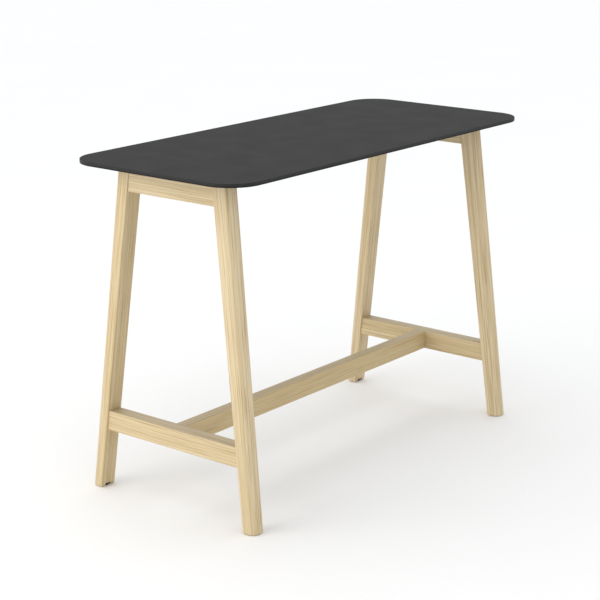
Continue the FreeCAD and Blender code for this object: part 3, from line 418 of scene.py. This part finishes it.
laminate = pressed_laminate()
powder_coat = powder_coated_steel()
black_oxide = black_oxide_steel()
zinc = bright_zinc_plate()
nylon = moulded_nylon()

for name in ("front_beam", "back_beam"):
    finish_node(name, powder_coat)
for name in ("rail_top_inserts", "beam_top_inserts"):
    finish_node(name, zinc)
for side in SIDES:
    for part in ("stretcher_insert", "stretcher_washer", "plate_inserts"):
        finish_node(f"{side}_{part}", zinc)
    for joint, grain in (("upper", (0, 1, 0)), ("lower", (0, 1, 0)), ("stretcher", (1, 0, 0))):
        finish_node(f"{side}_{joint}_dowels", turned_beech(f"{side}_{joint}", grain))
for corner in CORNERS:
    finish_node(f"{corner}_glide_sleeve", zinc)

# each wooden piece is cut from its own board: how far off its pith is, how far it lies to one side of there,
# and for a leg how much tan the board has, which on a leg in shade is partly painted shade
LEG_BOARDS = {"front_left": (0.26, 0.02, -0.1), "back_left": (0.3, -0.03, 0.25),
              "front_right": (0.24, 0.03, 0.05), "back_right": (0.33, -0.02, 0.0)}
RAIL_BOARDS = {"left": (0.27, 0.03), "right": (0.31, -0.03)}
TOP_SHADE = 0.33     # how much painted shade greys the upper faces of the low rails and the stretcher

leg_ash = {}
for corner, (side_x, side_y) in CORNERS.items():
    far, off, tan_and_shade = LEG_BOARDS[corner]
    lean = (side_x * (HEAD_X - FOOT_X), side_y * (HEAD_Y - FOOT_Y), UNDERSIDE - FOOT_BOTTOM)
    leg_ash[corner] = lacquered_ash(
        f"{corner}_leg", lean, (side_x * 0.685, side_y * 0.264, 0.55), (1, 1, 0), far, off, tan_and_shade=tan_and_shade)
for side, side_x in SIDES.items():
    far, off = RAIL_BOARDS[side]
    finish_node(f"{side}_upper_rail", lacquered_ash(
        f"{side}_upper_rail", (0, 1, 0), (side_x * HEAD_X, 0, 1.0545), (1, 0, 1.4), far, off,
        rings=0.0023))
    # the lower rails get more tan and a greyer upper face: painted shade, as they stand under the top
    finish_node(f"{side}_lower_rail", lacquered_ash(
        f"{side}_lower_rail", (0, 1, 0), (side_x * 0.6944, 0, LOW_RAIL_Z), (1, 0, -1), 0.9 * far, -off,
        tan_and_shade=0.2, top_shade=TOP_SHADE))
# the stretcher gets the most tan and a greyer upper face: painted shade, as it stands under the top
finish_node("stretcher", lacquered_ash(
    "stretcher", (1, 0, 0), (0, 0, LOW_RAIL_Z), (0, 1, 1.2), 0.28, 0.02, tan_and_shade=0.5, top_shade=TOP_SHADE))


# ---------------------------------------------------------------------------------------------------
# Modelling
# ---------------------------------------------------------------------------------------------------

SAME = 1e-6             # places nearer than this are the same
SOFT_EDGE = 32          # degrees: flatter edges than this are shaded smooth


def only(piece):
    """Select one object, and make it the one that operators work on."""
    bpy.ops.object.select_all(action="DESELECT")
    piece.select_set(True)
    bpy.context.view_layer.objects.active = piece


def pick(kind, wanted):
    """In edit mode, select the faces or edges that pass a test, which is given the middle and the part."""
    bpy.ops.mesh.select_mode(type=kind)
    bpy.ops.mesh.select_all(action="DESELECT")
    shape = bmesh.from_edit_mesh(bpy.context.object.data)
    for part in shape.faces if kind == "FACE" else shape.edges:
        middle = sum((corner.co for corner in part.verts), Vector()) / len(part.verts)
        if wanted(middle, part):
            part.select_set(True)
    bmesh.update_edit_mesh(bpy.context.object.data)


def rise(edge):
    """How much higher one end of an edge is than the other."""
    return abs(edge.verts[0].co.z - edge.verts[1].co.z)


def bevel_edges(wanted, offset, segments):
    """In edit mode, bevel the edges that pass a test."""
    pick("EDGE", wanted)
    bpy.ops.mesh.bevel(offset=offset, segments=segments, profile=0.5, affect="EDGES")


def bevel_rim(height, inside, offset, segments):
    """Bevel the edges that lie at one height, further than a radius from the axis."""
    bevel_edges(lambda middle, edge: abs(edge.verts[0].co.z - height) < SAME
                and abs(edge.verts[1].co.z - height) < SAME and middle.xy.length > inside, offset, segments)


def face_outwards():
    """In edit mode, point all faces outwards."""
    bpy.ops.mesh.select_all(action="SELECT")
    bpy.ops.mesh.normals_make_consistent(inside=False)


def block(size, at):
    """A plain block, in edit mode."""
    bpy.ops.object.select_all(action="DESELECT")
    bpy.ops.mesh.primitive_cube_add(size=1, scale=size, location=at)
    bpy.ops.object.transform_apply(location=True, scale=True)
    bpy.ops.object.mode_set(mode="EDIT")
    return bpy.context.object


def round_bar(sides, radius, low, high):
    """A plain round bar along Z, in edit mode."""
    bpy.ops.object.select_all(action="DESELECT")
    bpy.ops.mesh.primitive_cylinder_add(vertices=sides, radius=radius, depth=high - low,
                                        location=(0, 0, (low + high) / 2))
    bpy.ops.object.transform_apply(location=True)
    bpy.ops.object.mode_set(mode="EDIT")
    return bpy.context.object


def plain_bar(sides, radius, low, high, at=(0, 0, 0), turn=(0, 0, 0)):
    """A round bar that needs no more shaping, at its place."""
    bar = round_bar(sides, radius, low, high)
    bpy.ops.object.mode_set(mode="OBJECT")
    bar.rotation_euler = turn
    bar.location = at
    return bar


def cut_away(piece, tool, how="DIFFERENCE"):
    """Cut a piece with another one, which is used up."""
    only(piece)
    saw = piece.modifiers.new("cut", "BOOLEAN")
    saw.operation = how
    saw.solver = "EXACT"
    saw.object = tool
    bpy.ops.object.modifier_apply(modifier="cut")
    bpy.data.objects.remove(tool)


def join(name, parts):
    """One object of several."""
    only(parts[0])
    for part in parts[1:]:
        part.select_set(True)
    bpy.ops.object.join()
    parts[0].name = name
    return parts[0]


def copy_to(piece, at, direction=(0, 0, 1)):
    """A copy with its own mesh, turned from +Z to a direction and put in its place."""
    twin = piece.copy()
    twin.data = piece.data.copy()
    bpy.context.scene.collection.objects.link(twin)
    twin.rotation_euler = Vector((0, 0, 1)).rotation_difference(Vector(direction)).to_euler()
    twin.location = at
    only(twin)
    bpy.ops.object.transform_apply(location=True, rotation=True, scale=True)
    return twin


def finish_piece(piece, finish, body, angle=SOFT_EDGE):
    """Smooth a piece's soft edges, give it its finish and let it move with its body."""
    only(piece)
    bpy.ops.object.shade_smooth_by_angle(angle=math.radians(angle))
    piece.data.materials.clear()
    piece.data.materials.append(finish)
    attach(piece, body)


def even_shading(piece):
    """Weigh a piece's normals by the size of its faces, so that its flats stay flat beside its rounds."""
    only(piece)
    weighed = piece.modifiers.new("weighed", "WEIGHTED_NORMAL")
    weighed.keep_sharp = True
    bpy.ops.object.modifier_apply(modifier="weighed")


def threaded_bar(radius, pitch, low, high, steps):
    """A bar along Z with a right-handed 60 degree thread, cut square below and chamfered above."""
    depth = 0.541       # of the thread, in pitches
    bpy.ops.object.select_all(action="DESELECT")
    bpy.ops.mesh.primitive_plane_add(size=pitch)
    bar = bpy.context.object
    bpy.ops.object.mode_set(mode="EDIT")
    bpy.ops.mesh.select_mode(type="VERT")
    bpy.ops.mesh.select_all(action="SELECT")
    bpy.ops.mesh.merge(type="CENTER")
    bpy.ops.transform.translate(value=(radius - depth * pitch, 0, low - 2 * pitch))
    for out, up in ((0, 0.25), (depth, 0.3125), (0, 0.125), (-depth, 0.3125)):
        bpy.ops.mesh.extrude_vertices_move(TRANSFORM_OT_translate={"value": (out * pitch, 0, up * pitch)})
    bpy.ops.object.mode_set(mode="OBJECT")
    wind = bar.modifiers.new("wind", "SCREW")
    wind.axis = "Z"
    wind.screw_offset = pitch
    wind.iterations = math.ceil((high - low) / pitch) + 3
    wind.steps = steps
    wind.render_steps = steps
    bpy.ops.object.modifier_apply(modifier="wind")
    bpy.ops.object.mode_set(mode="EDIT")
    bpy.ops.mesh.select_all(action="SELECT")
    bpy.ops.mesh.remove_doubles(threshold=SAME)
    bpy.ops.mesh.bisect(plane_co=(0, 0, low), plane_no=(0, 0, 1), use_fill=True, clear_inner=True)
    bpy.ops.mesh.select_all(action="SELECT")
    bpy.ops.mesh.bisect(plane_co=(0, 0, high), plane_no=(0, 0, 1), use_fill=True, clear_outer=True)
    face_outwards()
    bpy.ops.object.mode_set(mode="OBJECT")
    sleeve = round_bar(2 * steps, radius + 0.05 * pitch, low - pitch, high)
    bevel_rim(height=high, inside=radius, offset=0.9 * pitch, segments=1)
    bpy.ops.object.mode_set(mode="OBJECT")
    cut_away(bar, sleeve, "INTERSECT")
    return bar


def hexagon_blank(flats, low, high):
    """A hexagon along Z, turned from round bar, so its corners have the arcs of a chamfer on both ends."""
    blank = round_bar(60, flats / math.sqrt(3) + 0.00005, low, high)
    for end in (low, high):
        bevel_rim(height=end, inside=0.001, offset=0.00075, segments=2)
    for turn in range(30, 390, 60):
        towards = Vector((math.cos(math.radians(turn)), math.sin(math.radians(turn)), 0))
        bpy.ops.mesh.select_all(action="SELECT")
        bpy.ops.mesh.bisect(plane_co=towards * flats / 2, plane_no=towards, use_fill=True, clear_outer=True)
    face_outwards()
    bpy.ops.object.mode_set(mode="OBJECT")
    return blank


# ---------------------------------------------------------------------------------------------------
# The top
# ---------------------------------------------------------------------------------------------------

def top_board():
    """The board: its corners rounded in plan, both arrises eased, blind holes below for ten inserts."""
    length, width, thickness = 1.6, 0.7, 0.012
    board = block((length, width, thickness), (0, 0, UNDERSIDE + thickness / 2))
    bevel_edges(lambda middle, edge: rise(edge) > 0.01, offset=0.11, segments=28)
    bevel_edges(lambda middle, edge: rise(edge) < 0.001, offset=0.0008, segments=3)
    bpy.ops.object.mode_set(mode="OBJECT")
    drill = plain_bar(32, radius=0.005, low=-0.001, high=0.009)
    spots = [(x, y) for x in (-BEAM_SCREW_X, 0, BEAM_SCREW_X) for y in (-BEAM_Y, BEAM_Y)]
    spots += [(x, y) for x in (-HEAD_X, HEAD_X) for y in (-RAIL_SCREW_Y, RAIL_SCREW_Y)]
    cut_away(board, join("drills", [copy_to(drill, (x, y, UNDERSIDE)) for x, y in spots]))
    bpy.data.objects.remove(drill)
    board.name = "tabletop_pressed"
    return board


board = top_board()
finish_piece(board, laminate, "table")
even_shading(board)
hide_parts("tabletop")


# ---------------------------------------------------------------------------------------------------
# The legs
# ---------------------------------------------------------------------------------------------------

def leg_blank():
    """The back right leg: sawn to its taper and splay, its two outer corners rounded over, the other
    edges eased, and its foot notched and drilled for the glide. The rails' dowels have their holes."""
    head_wide, head_deep = 0.063, 0.058
    foot_wide, foot_deep, foot_round = 0.06, 0.046, 0.004
    length = UNDERSIDE - FOOT_BOTTOM
    leg = block((head_wide, head_deep, length), (HEAD_X, HEAD_Y, (UNDERSIDE + FOOT_BOTTOM) / 2))
    pick("FACE", lambda middle, face: face.normal.z < -0.9)
    bpy.ops.transform.resize(value=(foot_wide / head_wide, foot_deep / head_deep, 1),
                             center_override=(HEAD_X, HEAD_Y, FOOT_BOTTOM))
    bpy.ops.transform.translate(value=(FOOT_X - HEAD_X, FOOT_Y - HEAD_Y, 0))
    halfway = (HEAD_Y + FOOT_Y) / 2
    bevel_edges(lambda middle, edge: rise(edge) > 0.5 and middle.y > halfway, offset=0.026, segments=16)
    bevel_edges(lambda middle, edge: rise(edge) > 0.5 and middle.y < halfway - 0.02,
                offset=0.0015, segments=3)
    # the foot is cut off 4 mm higher, and goes on from there as a quarter round of 4 mm
    bpy.ops.mesh.select_all(action="SELECT")
    bpy.ops.mesh.bisect(plane_co=(0, 0, FOOT_BOTTOM + foot_round), plane_no=(0, 0, 1), use_fill=True,
                        clear_inner=True)
    pick("FACE", lambda middle, face: face.normal.z < -0.9)
    sole_x, sole_y = foot_wide / 2 - foot_round, foot_deep / 2 - foot_round
    sine, cosine = 0.0, 1.0
    for turn in (22.5, 45, 67.5, 90):
        lower, inner = math.sin(math.radians(turn)), math.cos(math.radians(turn))
        bpy.ops.mesh.extrude_region_move(
            TRANSFORM_OT_translate={"value": (0, 0, foot_round * (sine - lower))})
        bpy.ops.transform.resize(value=((sole_x + foot_round * inner) / (sole_x + foot_round * cosine),
                                        (sole_y + foot_round * inner) / (sole_y + foot_round * cosine), 1),
                                 center_override=(FOOT_X, FOOT_Y, FOOT_BOTTOM))
        sine, cosine = lower, inner
    bpy.ops.object.mode_set(mode="OBJECT")
    # the notch is round at its end and open towards the middle of the table
    glide_at = (FOOT_X, GLIDE_Y, 0)
    notch = round_bar(48, radius=0.013, low=-0.002, high=0.01)
    pick("FACE", lambda middle, face: face.normal.y < -0.01 and abs(face.normal.z) < 0.1)
    bpy.ops.mesh.extrude_region_move(TRANSFORM_OT_translate={"value": (0, -0.04, 0)})
    bpy.ops.object.mode_set(mode="OBJECT")
    notch.location = glide_at
    cut_away(leg, notch)
    cut_away(leg, plain_bar(32, radius=0.0056, low=0.008, high=0.041, at=glide_at))
    inner_foot, inner_head = FOOT_Y - foot_deep / 2, HEAD_Y - head_deep / 2
    for x, height in ((HEAD_X, 1.0325), (HEAD_X, 1.0765), (0.69394, 0.223), (0.69394, 0.257)):
        face_y = inner_foot + (inner_head - inner_foot) * (height - FOOT_BOTTOM) / length
        cut_away(leg, plain_bar(24, radius=0.0061, low=-0.03, high=0.0235, at=(x, face_y, height),
                                turn=(-math.pi / 2, 0, 0)))
    return leg


leg_pattern = leg_blank()
for corner, (side_x, side_y) in CORNERS.items():
    leg = copy_to(leg_pattern, (0, 0, 0))
    leg.name = f"{corner}_leg_shaped"
    leg.scale = (side_x, side_y, 1)
    bpy.ops.object.transform_apply(scale=True)
    bpy.ops.object.mode_set(mode="EDIT")
    face_outwards()
    bpy.ops.object.mode_set(mode="OBJECT")
    finish_piece(leg, leg_ash[corner], "table")
    even_shading(leg)
    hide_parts(f"{corner}_leg")
bpy.data.objects.remove(leg_pattern)


# ---------------------------------------------------------------------------------------------------
# Machine screws
# ---------------------------------------------------------------------------------------------------

def button_head_screw(reach):
    """An M6 machine screw with a domed head and a hexagon socket. Its seat is at the origin, and it runs
    up from there."""
    head = round_bar(48, radius=0.0055, low=-0.004, high=0)
    bevel_rim(height=-0.004, inside=0.005, offset=0.0026, segments=7)
    bevel_rim(height=0, inside=0.005, offset=0.0003, segments=2)
    bpy.ops.object.mode_set(mode="OBJECT")
    # a key of 4 mm fits the socket, which ends in a shallow drilled point
    socket = round_bar(6, radius=0.004 / math.sqrt(3), low=-0.006, high=-0.0018)
    pick("FACE", lambda middle, face: face.normal.z > 0.9)
    bpy.ops.mesh.inset(thickness=0.0006)
    bpy.ops.transform.translate(value=(0, 0, 0.0003))
    bpy.ops.object.mode_set(mode="OBJECT")
    cut_away(head, socket)
    mouth = round_bar(48, radius=0.0024, low=-0.0052, high=-0.0038)
    pick("FACE", lambda middle, face: face.normal.z > 0.9)
    bpy.ops.transform.resize(value=(0.84, 0.84, 1))
    bpy.ops.object.mode_set(mode="OBJECT")
    cut_away(head, mouth)
    shank = threaded_bar(radius=0.003, pitch=0.001, low=-0.0002, high=reach, steps=16)
    return join("button_head_screw", [head, shank])


def screws(name, pattern, spots):
    """The screws of one node: copies of a pattern, each at its spot and along its direction."""
    copies = [copy_to(pattern, at, direction) for at, direction in spots]
    piece = join(f"{name}_turned", copies)
    finish_piece(piece, black_oxide, "table")
    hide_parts(name)
    bpy.data.objects.remove(pattern)


# where the heads bear: on the underside of the beams, and deep in counterbores in the upper rails
BEAM_SEAT, RAIL_SEAT = 1.078, 1.068
screws("beam_top_screws", button_head_screw(reach=0.0285), [
    ((x, y, BEAM_SEAT), (0, 0, 1)) for x in (-BEAM_SCREW_X, 0, BEAM_SCREW_X) for y in (-BEAM_Y, BEAM_Y)
])
for side, side_x in SIDES.items():
    screws(f"{side}_top_screws", button_head_screw(reach=0.0385), [
        ((side_x * HEAD_X, y, RAIL_SEAT), (0, 0, 1)) for y in (-RAIL_SCREW_Y, RAIL_SCREW_Y)
    ])
    screws(f"{side}_plate_screws", button_head_screw(reach=0.016), [
        ((side_x * BEAM_END, side_y * (BEAM_Y + step), PLATE_Z - PLATE_HOLE_DROP), (side_x, 0, 0))
        for side_y in (-1, 1) for step in (-PLATE_HOLE_Y, PLATE_HOLE_Y)
    ])


# ---------------------------------------------------------------------------------------------------
# The beams' end plates and their welds
# ---------------------------------------------------------------------------------------------------

PLATE_THICK = 0.004


def end_plate():
    """A steel plate: rounded corners, broken edges and two drilled holes. It stands on the YZ plane,
    centred, with the beam's side at -X."""
    width, height = 0.048, 0.043
    plate = block((PLATE_THICK, width, height), (0, 0, 0))
    bevel_edges(lambda middle, edge: abs(middle.x) < SAME and middle.z < 0, offset=0.006, segments=6)
    bevel_edges(lambda middle, edge: abs(middle.x) < SAME and middle.z > height / 2 - 0.0005
                and abs(middle.y) > width / 2 - 0.001, offset=0.0015, segments=3)
    bevel_edges(lambda middle, edge: abs(middle.x) > PLATE_THICK / 2 - 0.0001, offset=0.0004, segments=2)
    bpy.ops.object.mode_set(mode="OBJECT")
    for y in (-PLATE_HOLE_Y, PLATE_HOLE_Y):
        cut_away(plate, plain_bar(32, radius=0.0033, low=-0.004, high=0.004, at=(0, y, -PLATE_HOLE_DROP),
                                  turn=(0, math.pi / 2, 0)))
    return plate


def weld_bead(length):
    """A hand-laid fillet weld along Z: drops that overlap like a row of coins, fused into one bead."""
    radius, flatness, step = 0.0021, 0.55, 0.0013
    first = (0, 0, 0.0009)
    bpy.ops.object.select_all(action="DESELECT")
    bpy.ops.mesh.primitive_uv_sphere_add(segments=16, ring_count=10, radius=radius, location=first,
                                         scale=(1, 1, flatness))
    bead = bpy.context.object
    bpy.ops.object.transform_apply(location=True, scale=True)
    bpy.ops.object.mode_set(mode="EDIT")
    bpy.ops.mesh.select_all(action="SELECT")
    bpy.ops.transform.rotate(value=math.radians(24), orient_axis="X", center_override=first)
    bpy.ops.object.mode_set(mode="OBJECT")
    row = bead.modifiers.new("row", "ARRAY")
    row.use_relative_offset = False
    row.use_constant_offset = True
    row.constant_offset_displace = (0, 0, step)
    row.count = round((length - 0.0018) / step) + 1
    bpy.ops.object.modifier_apply(modifier="row")
    fuse = bead.modifiers.new("fuse", "REMESH")
    fuse.mode = "VOXEL"
    fuse.voxel_size = 0.0004
    bpy.ops.object.modifier_apply(modifier="fuse")
    return bead


plate_pattern = end_plate()
side_weld = weld_bead(length=0.017)
lower_weld = weld_bead(length=0.026)
for side, side_x in SIDES.items():
    plate_x, weld_x = side_x * (BEAM_END + PLATE_THICK / 2), side_x * BEAM_END
    plates = join(f"{side}_beam_plates_drilled", [
        copy_to(plate_pattern, (plate_x, y, PLATE_Z)) for y in (-BEAM_Y, BEAM_Y)
    ])
    finish_piece(plates, powder_coat, "table")
    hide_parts(f"{side}_beam_plates")
    for row, side_y in ROWS.items():
        beads = [copy_to(side_weld, (weld_x, side_y * BEAM_Y + step, 1.0795)) for step in (-0.015, 0.015)]
        beads.append(copy_to(lower_weld, (weld_x, side_y * BEAM_Y - 0.013, 1.078), (0, 1, 0)))
        finish_piece(join(f"{row}_{side}_beam_weld", beads), powder_coat, "table", angle=60)
for pattern in (plate_pattern, side_weld, lower_weld):
    bpy.data.objects.remove(pattern)


# ---------------------------------------------------------------------------------------------------
# The stud and nut at each end of the stretcher
# ---------------------------------------------------------------------------------------------------

NUT_X, STUD_X = 0.62714, 0.68944        # the inner face of the nut, and the outer end of the stud
nut_pattern = hexagon_blank(flats=0.013, low=0, high=0.0065)
cut_away(nut_pattern, plain_bar(32, radius=0.0036, low=-0.002, high=0.009))
stud_pattern = threaded_bar(radius=0.004, pitch=0.00125, low=0, high=0.0643, steps=20)
for side, side_x in SIDES.items():
    nut = copy_to(nut_pattern, (side_x * NUT_X, 0, LOW_RAIL_Z), (side_x, 0, 0))
    nut.name = f"{side}_stretcher_nut_chamfered"
    finish_piece(nut, zinc, "table")
    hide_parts(f"{side}_stretcher_nut")
    stud = copy_to(stud_pattern, (side_x * STUD_X, 0, LOW_RAIL_Z), (-side_x, 0, 0))
    stud.name = f"{side}_stretcher_stud_threaded"
    finish_piece(stud, zinc, "table")
    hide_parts(f"{side}_stretcher_stud")
for pattern in (nut_pattern, stud_pattern):
    bpy.data.objects.remove(pattern)


# ---------------------------------------------------------------------------------------------------
# The levelling glides
# ---------------------------------------------------------------------------------------------------

def glide_base():
    """A moulded foot: a shoulder that slopes to a thin rim, a socket for the stud and a hollow sole."""
    radius, height, slope = 0.011, 0.0065, 0.0013
    base = round_bar(64, radius, low=0, high=height)
    pick("FACE", lambda middle, face: face.normal.z > 0.9)
    bpy.ops.mesh.inset(thickness=0.003)
    pick("EDGE", lambda middle, edge: min(corner.co.z for corner in edge.verts) > 0.006
         and middle.xy.length > 0.0105)
    bpy.ops.transform.translate(value=(0, 0, -slope))
    pick("FACE", lambda middle, face: face.normal.z > 0.99)
    bpy.ops.mesh.inset(thickness=0.0039)
    bpy.ops.mesh.extrude_region_move(TRANSFORM_OT_translate={"value": (0, 0, -0.0036)})
    pick("FACE", lambda middle, face: face.normal.z < -0.99 and middle.z < 0.001)
    bpy.ops.mesh.inset(thickness=0.0028)
    bpy.ops.mesh.inset(thickness=0.0006)
    bpy.ops.transform.translate(value=(0, 0, 0.0006))
    bevel_rim(height=height - slope, inside=0.0105, offset=0.001, segments=4)
    bevel_rim(height=0, inside=0.0105, offset=0.001, segments=4)
    bevel_rim(height=height, inside=0.0045, offset=0.0004, segments=2)
    bpy.ops.object.mode_set(mode="OBJECT")
    return base


def glide_stud():
    """The M8 stud: a plain foot for the socket, a hexagonal collar for the spanner, a neck and a thread."""
    foot = round_bar(32, radius=0.004, low=0.003, high=0.0066)
    bevel_rim(height=0.003, inside=0.003, offset=0.0005, segments=2)
    bpy.ops.object.mode_set(mode="OBJECT")
    collar = hexagon_blank(flats=0.013, low=0.0065, high=0.01)
    neck = plain_bar(32, radius=0.0032, low=0.0099, high=0.0112)
    thread = threaded_bar(radius=0.004, pitch=0.00125, low=0.0111, high=0.037, steps=24)
    return join("glide_stud_turned", [foot, collar, neck, thread])


base_pattern = glide_base()
glide_pattern = glide_stud()
for corner, (side_x, side_y) in CORNERS.items():
    at = (side_x * FOOT_X, side_y * GLIDE_Y, 0)
    base = copy_to(base_pattern, at)
    base.name = f"{corner}_glide_base_moulded"
    finish_piece(base, nylon, f"{corner}_foot")
    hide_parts(f"{corner}_glide_base")
    stud = copy_to(glide_pattern, at)
    stud.name = f"{corner}_glide_stud_turned"
    finish_piece(stud, black_oxide, f"{corner}_screw")
    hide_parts(f"{corner}_glide_stud")
for pattern in (base_pattern, glide_pattern):
    bpy.data.objects.remove(pattern)


# ---------------------------------------------------------------------------------------------------
# Studio
# ---------------------------------------------------------------------------------------------------

def studio_floor():
    """A wide, pale painted floor with a barely uneven coat."""
    bpy.ops.object.select_all(action="DESELECT")
    bpy.ops.mesh.primitive_plane_add(size=80, location=(0, 0, 0))
    floor = bpy.context.object
    floor.name = "studio_floor"
    finish, tree, shader, place = new_finish("painted_floor")
    cloud = add_node(tree, "ShaderNodeTexNoise", {
        "Vector": place.outputs["Object"], "Scale": 1.2, "Detail": 3.0,
    })
    coat = add_node(tree, "ShaderNodeMix", {
        0: cloud.outputs["Fac"], 6: colour("F1F0EE"), 7: colour("F4F3F1"),
    }, data_type="RGBA")
    tree.links.new(coat.outputs[2], shader.inputs["Base Color"])
    shader.inputs["Roughness"].default_value = 0.9
    floor.data.materials.append(finish)


def side_light():
    """A large square lamp with soft edges, to the left of the table and a little behind it."""
    light = bpy.data.lights.new("side_light", "AREA")
    light.shape = "SQUARE"
    light.size = 3.0
    light.energy = 63
    light.color = colour("FFF8EE")[:3]
    lamp = bpy.data.objects.new("side_light", light)
    bpy.context.scene.collection.objects.link(lamp)
    place, aim = Vector((-4.3, 1.6, 2.1)), Vector((0, 0, 0.6))
    lamp.location = place
    lamp.rotation_euler = (aim - place).to_track_quat("-Z", "Y").to_euler()


def white_walls():
    """White walls all round, a little dimmer on the side of the front."""
    world = bpy.data.worlds.new("white_studio")
    bpy.context.scene.world = world
    world.use_nodes = True
    tree = world.node_tree
    walls = tree.nodes["Background"]
    walls.inputs["Color"].default_value = colour("FAFCFF")
    towards = add_node(tree, "ShaderNodeTexCoord", {})
    apart = add_node(tree, "ShaderNodeSeparateXYZ", {"Vector": towards.outputs["Generated"]})
    dimmed = add_node(tree, "ShaderNodeMapRange", {
        "Value": apart.outputs["Y"], "From Min": -1.0, "From Max": 1.0, "To Min": 0.98, "To Max": 1.3,
    })
    tree.links.new(dimmed.outputs["Result"], walls.inputs["Strength"])


def studio_camera():
    """A camera at the front left, above the top, with a long lens."""
    azimuth, elevation, reach = math.radians(-51.51), math.radians(15.64), 5.7509
    aim = Vector((-0.0709, -0.0072, 0.555))
    back = Vector((math.sin(azimuth) * math.cos(elevation), -math.cos(azimuth) * math.cos(elevation),
                   math.sin(elevation)))
    lens = bpy.data.cameras.new("camera")
    lens.sensor_width = 36
    lens.lens = 101.406
    camera = bpy.data.objects.new("camera", lens)
    bpy.context.scene.collection.objects.link(camera)
    camera.location = aim + back * reach
    camera.rotation_euler = back.to_track_quat("Z", "Y").to_euler()
    bpy.context.scene.camera = camera


studio_floor()
side_light()
white_walls()
studio_camera()
bpy.context.scene.view_settings.view_transform = "Standard"
bpy.context.scene.view_settings.look = "None"
